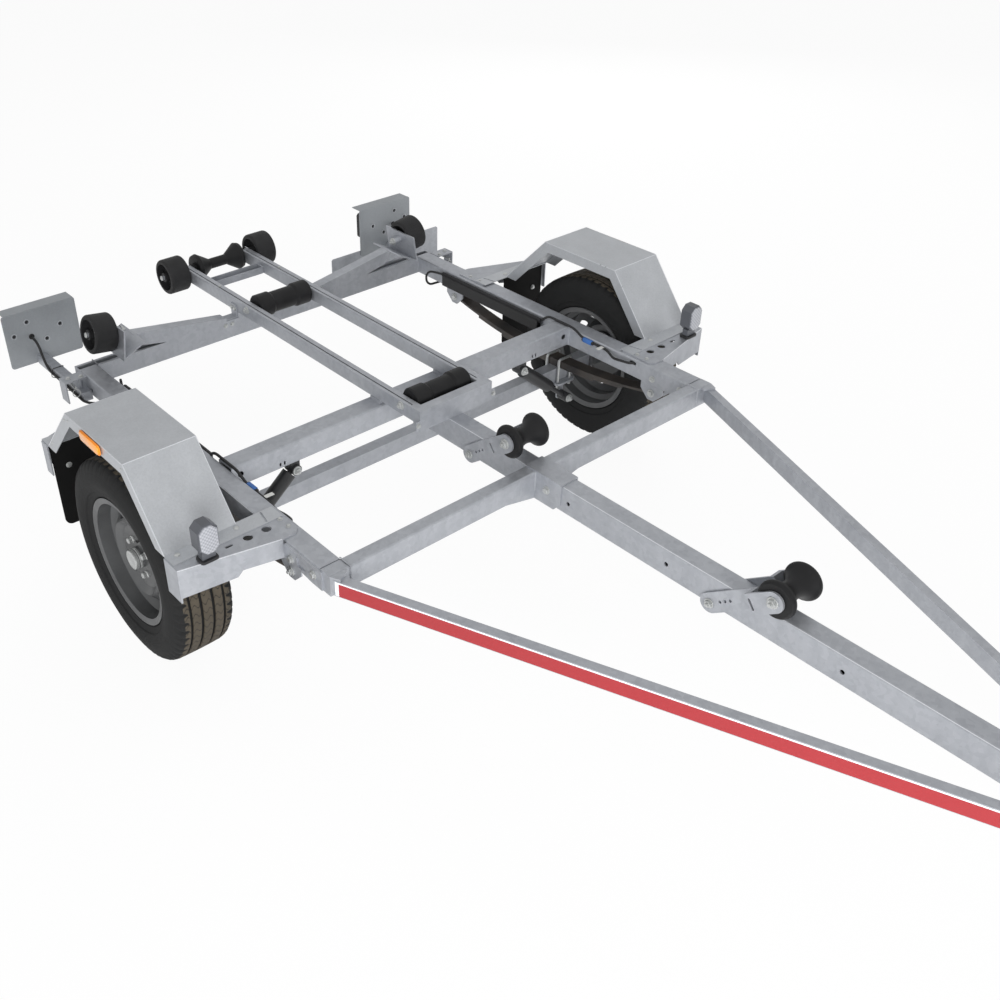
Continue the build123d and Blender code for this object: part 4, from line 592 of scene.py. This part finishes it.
def settled(name, holder, finish, body, smooth_angle):
    """The evaluated shape of a live object as a finished piece; the live one goes."""
    depsgraph = bpy.context.evaluated_depsgraph_get()
    mesh = bpy.data.meshes.new_from_object(holder.evaluated_get(depsgraph))
    for modifier in list(holder.modifiers):
        holder.modifiers.remove(modifier)
    bpy.data.objects.remove(holder)
    mesh.name = name
    return piece(name, mesh, finish, body, smooth_angle)


def wire(name, runs, radius, finish, body="trailer", closed=False):
    """Round wire through lists of places."""
    curve = bpy.data.curves.new(name, "CURVE")
    curve.dimensions = "3D"
    curve.bevel_depth = radius
    curve.bevel_resolution = 2
    curve.use_fill_caps = not closed
    for run in runs:
        spline = curve.splines.new("POLY")
        spline.points.add(len(run) - 1)
        for point, place in zip(spline.points, run):
            point.co = (*place, 1.0)
        spline.use_cyclic_u = closed
    holder = bpy.data.objects.new(name, curve)
    bpy.context.scene.collection.objects.link(holder)
    return settled(name, holder, finish, body, 50)


def ring(centre, axis, radius, steps=14):
    """Places on a circle about an axis."""
    turn = Vector(axis).to_track_quat("Z", "Y")
    angles = [tau * i / steps for i in range(steps)]
    return [centre + turn @ Vector((radius * cos(angle), radius * sin(angle), 0)) for angle in angles]


def rounded(centre, across, up, width, height, corner):
    """The outline of a rounded rectangle between two directions."""
    steps = 4
    outline = []
    for quarter, (a, b) in enumerate(((1, 1), (-1, 1), (-1, -1), (1, -1))):
        for step in range(steps + 1):
            angle = (quarter + step / steps) * pi / 2
            u = a * (width / 2 - corner) + corner * cos(angle)
            v = b * (height / 2 - corner) + corner * sin(angle)
            outline.append(centre + across * u + up * v)
    return outline


def slab(outlines, offset, bevel=0.0):
    """Flat plates from outlines, drawn out along a vector, with their edges eased."""
    mesh = bpy.data.meshes.new("slab")
    work = bmesh.new()
    for outline in outlines:
        face = work.faces.new([work.verts.new(place) for place in outline])
        drawn = bmesh.ops.extrude_face_region(work, geom=[face])
        corners = [part for part in drawn["geom"] if isinstance(part, bmesh.types.BMVert)]
        bmesh.ops.translate(work, vec=offset, verts=corners)
    bmesh.ops.recalc_face_normals(work, faces=work.faces)
    if bevel:
        normal = Vector(offset).normalized()
        edges = [e for e in work.edges if abs((e.verts[0].co - e.verts[1].co).normalized().dot(normal)) < 0.5]
        bmesh.ops.bevel(work, geom=edges, offset=bevel, segments=2, affect="EDGES", profile=0.6)
    work.to_mesh(mesh)
    work.free()
    return mesh


# ---------------------------------------------------------------- fasteners
# node, place, facing, washer's radius in mm, kind; * is the side, and places are mirrored
PAIRED = (
    ("spring_plates", (701, -430, 438), (1, 0, 0), 12, "bolt"),
    ("spring_plates", (701, -524, 448), (1, 0, 0), 12, "bolt"),
    ("side_rail_*", (696, -388, 462), (1, 0, 0), 7, "bolt"),
    ("side_rail_*", (636, -415, 439), (-1, 0, 0), 11, "nut"),
    ("side_rail_*", (636, -520, 446), (-1, 0, 0), 11, "nut"),
    ("mudguard_front_brackets", (661, -329, 480), (0, 0, 1), 7, "bolt"),
    ("mudguard_front_brackets", (661, -366, 480), (0, 0, 1), 7, "bolt"),
    ("mudguard_rear_brackets", (661, 392, 480), (0, 0, 1), 7, "bolt"),
    ("mudguard_rear_brackets", (661, 440, 480), (0, 0, 1), 7, "bolt"),
    ("mudguard_*", (926, -292, 482), (0, 0, 1), 8, "rivet"),
    ("mudguard_*", (764, -292, 482), (0, 0, 1), 8, "rivet"),
    ("mudguard_*", (926, 374, 482), (0, 0, 1), 8, "rivet"),
    ("mudguard_*", (764, 374, 482), (0, 0, 1), 8, "rivet"),
    ("mudguard_*", (955, -116, 646), (1, 0, 0), 4, "rivet"),
    ("mudguard_*", (955, -243, 508), (1, 0, 0), 4, "rivet"),
    ("mudguard_*", (955, 168, 648), (1, 0, 0), 4, "rivet"),
    ("mudguard_*", (955, 192, 640), (1, 0, 0), 4, "rivet"),
    ("mudguard_*", (955, 322, 508), (1, 0, 0), 4, "rivet"),
    ("spring_hangers", (693, -414, 388), (1, 0, 0), 13, "nut"),
    ("spring_hangers", (639, -414, 388), (-1, 0, 0), 13, "bolt"),
    ("spring_hangers", (693, 500, 388), (1, 0, 0), 13, "nut"),
    ("spring_hangers", (639, 500, 388), (-1, 0, 0), 13, "bolt"),
    ("dampers", (436, -66, 392), (0, -1, 0), 14, "nut"),
    ("dampers", (655, -66, 212), (0, -1, 0), 14, "nut"),
    ("front_crossmember", (31, -626, 441), (1, 0, 0), 12, "bolt"),
    ("bolster_arm_*", (138, 713, 506), (1, 0, 0), 8, "bolt"),
    ("bolster_arm_*", (138, 731, 506), (1, 0, 0), 8, "bolt"),
    ("cradle_front_bar", (140, -229, 497), (0, -1, 0), 8, "bolt"),
    ("rear_crossmember", (160, 702, 462), (0, -1, 0), 8, "bolt"),
    ("rear_crossmember", (185, 702, 462), (0, -1, 0), 8, "bolt"),
    ("cradle_rail_*", (134, -152, 524), (1, 0, 0), 13, "nut"),
    ("cradle_rail_*", (134, 643, 524), (1, 0, 0), 13, "nut"),
    ("cradle_rail_*", (119, 830, 539), (0, 0, 1), 6, "bolt"),
    ("keel_bracket_rear", (33, -328, 406), (1, 0, 0), 13, "nut"),
    ("keel_bracket_front", (33, -1160, 406), (1, 0, 0), 13, "nut"),
    ("keel_bracket_rear", (64, -499, 536), (1, 0, 0), 15, "nut"),
    ("keel_bracket_front", (64, -1331, 536), (1, 0, 0), 15, "nut"),
    ("lamp_arms", (746, 680, 476), (0, 0, 1), 8, "bolt"),
    ("lamp_arms", (711, 668, 476), (0, 0, 1), 8, "bolt"),
    ("light_board_*", (711, 965, 421), (0, -1, 0), 8, "bolt"),
    ("light_board_*", (736, 965, 554), (0, -1, 0), 10, "rim"),
    ("light_board_*", (632, 965, 517), (0, -1, 0), 10, "rim"),
    ("light_board_*", (784, 965, 518), (0, -1, 0), 10, "rim"),
    ("light_board_*", (683, 965, 481), (0, -1, 0), 10, "rim"),
    ("mud_flaps", (904, 372, 392), (0, -1, 0), 9, "bolt"),
    ("mud_flaps", (804, 372, 392), (0, -1, 0), 9, "bolt"),
)
# the same for pieces on the middle line or on one side
SINGLE = (
    ("winch_post", (-46, -2240, 500), (-1, 0, 0), 12, "nut"),
    ("winch_post", (46, -2240, 500), (1, 0, 0), 12, "bolt"),
    ("jockey_tube", (88, -2480, 560), (1, 0, 0), 10, "bolt"),
    ("coupling_head", (38, -2560, 500), (1, 0, 0), 12, "nut"),
    ("coupling_head", (-38, -2560, 500), (-1, 0, 0), 12, "bolt"),
    ("drawbar", (27, -2520, 436), (1, 0, 0), 12, "nut"),
    ("drawbar", (-27, -2520, 436), (-1, 0, 0), 12, "bolt"),
)
# holes get their rims where the node is open, so these aren't seated
OPEN_RIM = 965 - 0.2
by_kind = {}
for side, name in SIDES:
    for node, place, facing, radius, kind in PAIRED:
        spot, way = at(side * place[0], place[1], place[2]), Vector((side * facing[0], facing[1], facing[2]))
        if kind == "rim":
            spot = at(side * place[0], OPEN_RIM, place[2])
        else:
            spot = seat(node.replace("*", name), spot, way)
        rows = by_kind.setdefault(kind, [])
        rows.append((spot, way, radius / 1000, 0.35 * len(rows)))
for node, place, facing, radius, kind in SINGLE:
    way = Vector(facing)
    by_kind.setdefault(kind, []).append((seat(node, at(*place), way), way, radius / 1000, 0.2))
# the side rollers' pins lean with the rollers
side_low, side_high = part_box("side_roller_left")
pin_x, pin_z = (side_low[0] + side_high[0]) / 2, (side_low[2] + side_high[2]) / 2
for side, name in SIDES:
    lean = Vector((side * cos(ROLLER_LEAN), 0, sin(ROLLER_LEAN)))
    hub = Vector((side * pin_x, side_low[1] + (side_high[1] - side_low[1]) / 2, pin_z))
    by_kind["nut"].append((hub - lean * 0.0705, -lean, 0.014, 0.4))
    by_kind["rivet"].append((hub + lean * 0.0425, lean, 0.0085, 0.0))
    by_kind["rivet"].append((at(side * 220, 1047, 524), Vector((side, 0, 0)), 0.009, 0.0))
for kind, rows in by_kind.items():
    spread(f"fasteners_{kind}", kind, rows, zinc_sheet if kind == "rim" else plated)

# wheel nuts on their circle
NUT_CIRCLE = 0.050
for side, name in SIDES:
    rows = []
    for i in range(4):
        angle = tau * (i + 0.5) / 4 + 0.2
        spot = Vector((side * (wheel_x + 0.03), axle_y, axle_z))
        spot += Vector((0, cos(angle), sin(angle))) * NUT_CIRCLE
        rows.append((seat(f"wheel_{name}", spot, (side, 0, 0)), (side, 0, 0), 0.0108, angle))
    spread(f"wheel_nuts_{name}", "wheel_nut", rows, plated, f"road_wheel_{name}")

# ---------------------------------------------------------------- weld beads
BEAD_PITCH = 0.0042
# start, end, facing and radius in mm; mirrored to both sides
WELDS = (
    ((636, -583, 477), (636, -545, 477), (-1, 0, 1), 3.2),
    ((636, 703, 477), (636, 741, 477), (-1, 0, 1), 3.2),
    ((636, -64, 470), (636, -64, 420), (-1, -1, 0), 3.2),
    ((636, -584, 470), (636, -584, 420), (-1, -1, 0), 3.2),
    ((636, 702, 470), (636, 702, 420), (-1, -1, 0), 3.2),
    ((27, -64, 470), (27, -64, 402), (1, -1, 0), 3.4),
    ((31.3, -584, 474), (31.3, -584, 420), (1, -1, 0), 3.2),
    ((639, -452, 416), (639, -376, 416), (-1, 0, -1), 3.0),
    ((693, -452, 416), (693, -376, 416), (1, 0, -1), 3.0),
    ((639, 462, 416), (639, 538, 416), (-1, 0, -1), 3.0),
    ((693, 462, 416), (693, 538, 416), (1, 0, -1), 3.0),
    ((104, 915, 518), (104, 955, 518), (-1, 0, 1), 2.8),
    ((27, -2212, 466), (27, -2212, 428), (1, -1, 0), 2.8),
)
rows = []
for side, name in SIDES:
    for start, end, facing, radius in WELDS:
        first, last = at(side * start[0], start[1], start[2]), at(side * end[0], end[1], end[2])
        way = Vector((side * facing[0], facing[1], facing[2])).normalized()
        count = max(2, int((last - first).length / BEAD_PITCH))
        for i in range(count + 1):
            swell = 1.0 + 0.10 * sin(i * 2.3) + 0.06 * sin(i * 5.1)
            rows.append((first.lerp(last, i / count), way, swell * radius / 1000, i * 1.7))
spread("weld_beads", "bead", rows, zinc, smooth_angle=60)

# ---------------------------------------------------------------- reflective tape on the struts
STRUT_LEAN = 0.41
for side, name in SIDES:
    out = Vector((side, -STRUT_LEAN, 0)).normalized()
    start = seat(f"strut_{name}", at(side * 648, -700, 446), out)
    end = seat(f"strut_{name}", at(side * 91, -2060, 446), out)
    along = (end - start).normalized()
    rear = start - along * 0.112
    up = Vector((0, 0, 1))
    for label, finish, trim, low, high, lift in (("backing", white_tape, 0.0, 0.4260, 0.4665, 0.0003),
                                                 ("tape", red_tape, 0.010, 0.4260, 0.4625, 0.0006)):
        first, last = rear + along * trim, end - along * trim
        first.z = last.z = 0.0
        corners = [first + up * low, last + up * low, last + up * high, first + up * high]
        mesh = slab([[corner + out * 0.0001 for corner in corners]], out * lift)
        piece(f"strut_{label}_{name}", mesh, finish)

# ---------------------------------------------------------------- painted highlights: bright wires along the sheets' rounded bends and the tubes' top edges
ARCH = ((-277, 482), (-128, 666), (179, 666), (357, 482))
# how far out and how high the painted highlights on the tubes' top edges run, and from where to where, in mm
EDGES = ((24.9, 473.9, -2600, -680), (24.9, 473.9, -540, -68), (693.9, 473.9, -280, 360),
         (131.9, 536.9, -200, 1070))
for side, name in SIDES:
    runs = [[at(side * 757, y, z - 1.2), at(side * 951, y, z - 1.2)] for y, z in ARCH[1:3]]
    for x in (754.6, 953.4):
        runs.append([at(side * (x + (1.2 if x < 800 else -1.2)), y, z - 1.2) for y, z in ARCH])
    runs.append([at(side * 702, -398.5, 479.0), at(side * 956, -343.3, 479.0)])
    wire(f"folds_{name}", runs, 0.0014, highlight_zinc)
    # painted highlights along the tubes' top edges, as bright wires
    runs = [[at(side * x, first, z), at(side * x, last, z)] for x, z, first, last in EDGES]
    wire(f"edges_{name}", runs, 0.0013, highlight_zinc)

# ---------------------------------------------------------------- lamps and reflectors
for side, name in SIDES:
    out = Vector((side, 0, 0))
    ahead, up = Vector((0, -1, 0)), Vector((0, 0, 1))
    base = at(side * 955, 36, 648.5)
    mesh = slab([rounded(base, ahead, up, 0.108, 0.030, 0.010)], out * 0.0035, 0.0008)
    piece(f"reflector_base_{name}", mesh, amber_base)
    mesh = slab([rounded(base + out * 0.003, ahead, up, 0.102, 0.025, 0.009)], out * 0.0035, 0.0012)
    piece(f"reflector_{name}", mesh, amber_reflector)
    # position lamp: clear lens in a dark hood
    face = at(side * 878, -367, 549)
    cut = 0.0135
    half_wide, half_high = 0.0235, 0.0375
    corners = ((-half_wide, -half_high + cut), (-half_wide + cut, -half_high), (half_wide - cut, -half_high),
               (half_wide, -half_high + cut), (half_wide, half_high - cut), (half_wide - cut, half_high),
               (-half_wide + cut, half_high), (-half_wide, half_high - cut))
    outline = [face + Vector((u, 0, v)) for u, v in corners]
    piece(f"position_lens_{name}", slab([outline], ahead * 0.007, 0.003), clear_lens)
    hood = [face + Vector((u * 1.10, 0.014, v * 1.06)) for u, v in corners]
    piece(f"position_bezel_{name}", slab([hood], ahead * 0.016, 0.002), smoked)
    foot = rounded(at(side * 878, -350, 480), Vector((1, 0, 0)), Vector((0, 1, 0)), 0.048, 0.036, 0.008)
    piece(f"position_foot_{name}", slab([foot], up * 0.009, 0.003), housing_black)
    # tail lamp: three lens fields and a triangle in the middle one
    rear = Vector((0, 1, 0))
    for label, finish, x, width in (("indicator", amber_lens, 754, 0.058), ("stop", red_lens, 691.5, 0.062),
                                    ("tail", red_lens, 629, 0.058)):
        outline = rounded(at(side * x, 1012, 515.5), Vector((1, 0, 0)), up, width, 0.082, 0.007)
        piece(f"{label}_lens_{name}", slab([outline], rear * 0.005, 0.002), finish)
    middle_field = at(side * 691.5, 1017, 511)
    angles = [pi / 2 + i * tau / 3 for i in range(3)]
    triangle = [middle_field + Vector((cos(angle), 0, sin(angle))) * 0.024 for angle in angles]
    piece(f"triangle_{name}", slab([triangle], rear * 0.002, 0.0008), red_reflector)

# ---------------------------------------------------------------- wiring
for side, name in SIDES:
    way, out, up = Vector((0, -1, 0)), Vector((side, 0, 0)), Vector((0, 0, 1))
    # corrugated sleeve over the cable in its duct
    sleeve = [at(side * 627.6, 552, 461.4), at(side * 627.6, 58, 461.4)]
    wire(f"conduit_{name}", [sleeve], 0.0074, conduit)
    # connector halves and a tag
    box = rounded(at(side * 629.3, -134, 467.5), out, up, 0.0122, 0.015, 0.003)
    piece(f"connector_{name}", slab([box], way * 0.036, 0.001), connector_blue)
    collar = rounded(at(side * 629.4, -129, 467.5), out, up, 0.0118, 0.0118, 0.004)
    piece(f"connector_collar_{name}", slab([collar], way * 0.046, 0.001), housing_black)
    tag = rounded(at(side * 618, -214, 471.4), out, Vector((0, 1, 0)), 0.026, 0.013, 0.002)
    piece(f"tag_{name}", slab([tag], Vector((0, 0, 0.0008))), tag_white)
    # grommets round the cable at the board and at the rail's outer face
    for label, centre, axis, radius in (("board", at(side * 730, 964.5, 502), (0, -1, 0), 0.0068),
                                        ("rail", at(side * 697, -344, 463), (side, 0, 0), 0.0060)):
        wire(f"grommet_{label}_{name}", [ring(centre, axis, radius)], 0.0026, grommet_black,
             closed=True)
    # ties that hold the cable under the lamp arm
    for i, y in enumerate((735, 842)):
        band = [at(side * x, y, z) for x, z in ((694.6, 437.4), (727.2, 437.4), (735.8, 420), (735.8, 411),
                                                (727.0, 404.6), (694.6, 404.6))]
        wire(f"tie_{name}_{i}", [band], 0.0013, grommet_black, closed=True)
    # split ring and its pin through the arm's clamp
    hang = at(side * 741, 650, 452) + Vector((0, -0.004, -0.012))
    wire(f"split_ring_{name}", [ring(hang, (0.25 * side, -1, 0.2), 0.0115, 20)], 0.0012, plated, closed=True)
    wire(f"arm_pin_{name}", [[at(side * 741, 704, 458), at(side * 741, 646, 458)]], 0.004, plated)

# ---------------------------------------------------------------- running gear
# the bump stop's (radius, drop) in mm, and the dust cap's (out from the wheel's middle, radius) in m
BUMP_STOP = ((17, 0), (17, 6), (13, 9), (15, 16), (12, 26), (7, 31))
DUST_CAP = ((0.0400, 0.0272), (0.0400, 0.0292), (0.0450, 0.0292), (0.0462, 0.0282), (0.0560, 0.0280),
            (0.0585, 0.0270), (0.0598, 0.0245), (0.0600, 0.0200), (0.0592, 0.0150), (0.0590, 0.0004),
            (0.0570, 0.0004))
for side, name in SIDES:
    # U-bolts over the spring and round the axle beam, with the plate under it
    runs = []
    for y in (-27, 27):
        runs.append([at(side * x, y, z) for x, z in (
            (638.5, 238), (638.5, 334), (640.0, 341), (645, 344.5), (687, 344.5), (692, 341), (693.5, 334),
            (693.5, 238))])
    wire(f"u_bolts_{name}", runs, 0.005, plated)
    plate = rounded(at(side * 666, 0, 254), Vector((1, 0, 0)), Vector((0, 1, 0)), 0.082, 0.084, 0.010)
    piece(f"u_bolt_plate_{name}", slab([plate], Vector((0, 0, 0.008)), 0.001), zinc)
    rows = [(at(side * x, y, 254), Vector((0, 0, -1)), 0.0095, 0.5 * i)
            for i, (x, y) in enumerate(((638.5, -27), (638.5, 27), (693.5, -27), (693.5, 27)))]
    spread(f"u_bolt_nuts_{name}", "nut", rows, plated)
    # rubber stop under the rail
    stop = stacked(f"bump_{name}", ((16, BUMP_STOP, True),)).data.copy()
    hung = Matrix.Translation(at(side * 666, 6, 416)) @ Matrix.Rotation(pi, 4, "X")
    stop.transform(hung @ Matrix.Scale(0.001, 4))
    piece(f"bump_stop_{name}", stop, flap_black, smooth_angle=60)
    # pressed dust cap over the hub's end, and the tyre's valve
    mesh = turned([(side * x, r) for x, r in DUST_CAP], (side * wheel_x, axle_y, axle_z), 36)
    piece(f"dust_cap_{name}", mesh, plated, f"road_wheel_{name}")
    angle = 2.2
    spoke = Vector((0, cos(angle), sin(angle)))
    root = Vector((side * (wheel_x + 0.040), axle_y, axle_z)) + spoke * 0.149
    wire(f"valve_{name}", [[root, root + Vector((side * 0.012, 0, 0)) - spoke * 0.002,
                            root + Vector((side * 0.030, 0, 0)) - spoke * 0.008]], 0.0038, grommet_black,
         f"road_wheel_{name}")

# ---------------------------------------------------------------- grips on the cranks
wire("winch_grip", [[at(-71, -2373, 878), at(-159, -2373, 878)]], 0.0128, grip_black, "winch_drum")
wire("jockey_grip", [[at(64, -2590, 754), at(64, -2590, 821)]], 0.0126, grip_black)

# ---------------------------------------------------------------- stage
def floor():
    """A pale floor that keeps the shadow."""
    mesh = bpy.data.meshes.new("floor")
    reach = 60.0
    corners = [(-reach, -reach, 0), (reach, -reach, 0), (reach, reach, 0), (-reach, reach, 0)]
    mesh.from_pydata(corners, [], [(0, 1, 2, 3)])
    ground = bpy.data.objects.new("floor", mesh)
    bpy.context.scene.collection.objects.link(ground)
    finish = Finish("floor_paper", Base_Color=(0.9, 0.9, 0.9, 1.0), Roughness=0.9, Specular_IOR_Level=0.1)
    tree = finish.tree
    glow = tree.nodes.new("ShaderNodeEmission")
    seen = finish.node("ShaderNodeLightPath", output="Is Camera Ray")
    blend = tree.nodes.new("ShaderNodeMixShader")
    tree.links.new((seen * 0.93).socket, blend.inputs[0])
    tree.links.new(finish.shader.outputs[0], blend.inputs[1])
    tree.links.new(glow.outputs[0], blend.inputs[2])
    tree.links.new(blend.outputs[0], finish.output.inputs["Surface"])
    mesh.materials.append(finish.material)


def surroundings():
    """White all round for the camera and reflections, and a softer light on the surfaces."""
    world = bpy.data.worlds.new("studio")
    bpy.context.scene.world = world
    world.use_nodes = True
    tree = world.node_tree
    tree.nodes.clear()
    output = tree.nodes.new("ShaderNodeOutputWorld")
    background = tree.nodes.new("ShaderNodeBackground")
    background.inputs["Color"].default_value = (1.0, 1.0, 1.0, 1.0)
    path = tree.nodes.new("ShaderNodeLightPath")
    seen = tree.nodes.new("ShaderNodeMath")
    seen.operation = "MAXIMUM"
    tree.links.new(path.outputs["Is Camera Ray"], seen.inputs[0])
    tree.links.new(path.outputs["Is Transmission Ray"], seen.inputs[1])
    glossy = tree.nodes.new("ShaderNodeMath")
    glossy.operation = "MULTIPLY"
    glossy.inputs[1].default_value = WORLD_GLOSS - WORLD_LIGHT
    tree.links.new(path.outputs["Is Glossy Ray"], glossy.inputs[0])
    direct = tree.nodes.new("ShaderNodeMath")
    direct.operation = "MULTIPLY_ADD"
    direct.inputs[1].default_value = 1.0 - WORLD_LIGHT
    direct.inputs[2].default_value = WORLD_LIGHT
    tree.links.new(seen.outputs[0], direct.inputs[0])
    total = tree.nodes.new("ShaderNodeMath")
    total.operation = "ADD"
    tree.links.new(direct.outputs[0], total.inputs[0])
    tree.links.new(glossy.outputs[0], total.inputs[1])
    tree.links.new(total.outputs[0], background.inputs["Strength"])
    tree.links.new(background.outputs[0], output.inputs["Surface"])


def lamp(name, place, aim, size, power):
    """A soft square studio lamp that lights surfaces without showing in their gloss."""
    light = bpy.data.lights.new(name, "AREA")
    light.shape = "SQUARE"
    light.size = size
    light.energy = power
    holder = bpy.data.objects.new(name, light)
    bpy.context.scene.collection.objects.link(holder)
    holder.visible_glossy = False
    holder.matrix_world = (Matrix.Translation(place) @
                           (Vector(place) - Vector(aim)).to_track_quat("Z", "Y").to_matrix().to_4x4())


# how strongly the surroundings light the surfaces, and how strongly they show in their gloss
WORLD_LIGHT = 0.42
WORLD_GLOSS = 0.62
floor()
surroundings()
lamp("key", (-4.4, -5.8, 2.5), (0.0, -0.3, 0.4), 3.5, 740.0)
lamp("top", (0.8, 0.4, 5.5), (0.0, 0.2, 0.4), 4.0, 50.0)
lamp("back", (4.5, 4.0, 2.6), (0.0, 0.4, 0.4), 3.0, 90.0)

# the camera: its turn about Z, its height above the level and its small roll, in degrees
CAMERA_PLACE = (-1.7960, -1.3970, 2.1006)
TURN, RAISE, ROLL = -39.764, 34.219, -0.355
FOCAL_LENGTH = 39.98       # mm, behind a frame 36 mm wide
FRAME_SHIFT = (0.0760, -0.0232)
back = Vector((sin(radians(TURN)) * cos(radians(RAISE)), -cos(radians(TURN)) * cos(radians(RAISE)),
               sin(radians(RAISE))))
level = Vector((cos(radians(TURN)), sin(radians(TURN)), 0.0))
upright = back.cross(level)
right = level * cos(radians(ROLL)) + upright * sin(radians(ROLL))
up = upright * cos(radians(ROLL)) - level * sin(radians(ROLL))
eye = bpy.data.cameras.new("camera")
eye.sensor_width = 36.0
eye.lens = FOCAL_LENGTH
eye.shift_x, eye.shift_y = FRAME_SHIFT
eye.clip_end = 200.0
camera = bpy.data.objects.new("camera", eye)
bpy.context.scene.collection.objects.link(camera)
turn = Matrix((right, up, back)).transposed().to_4x4()
camera.matrix_world = Matrix.Translation(CAMERA_PLACE) @ turn
bpy.context.scene.camera = camera
bpy.context.scene.view_settings.view_transform = "Standard"
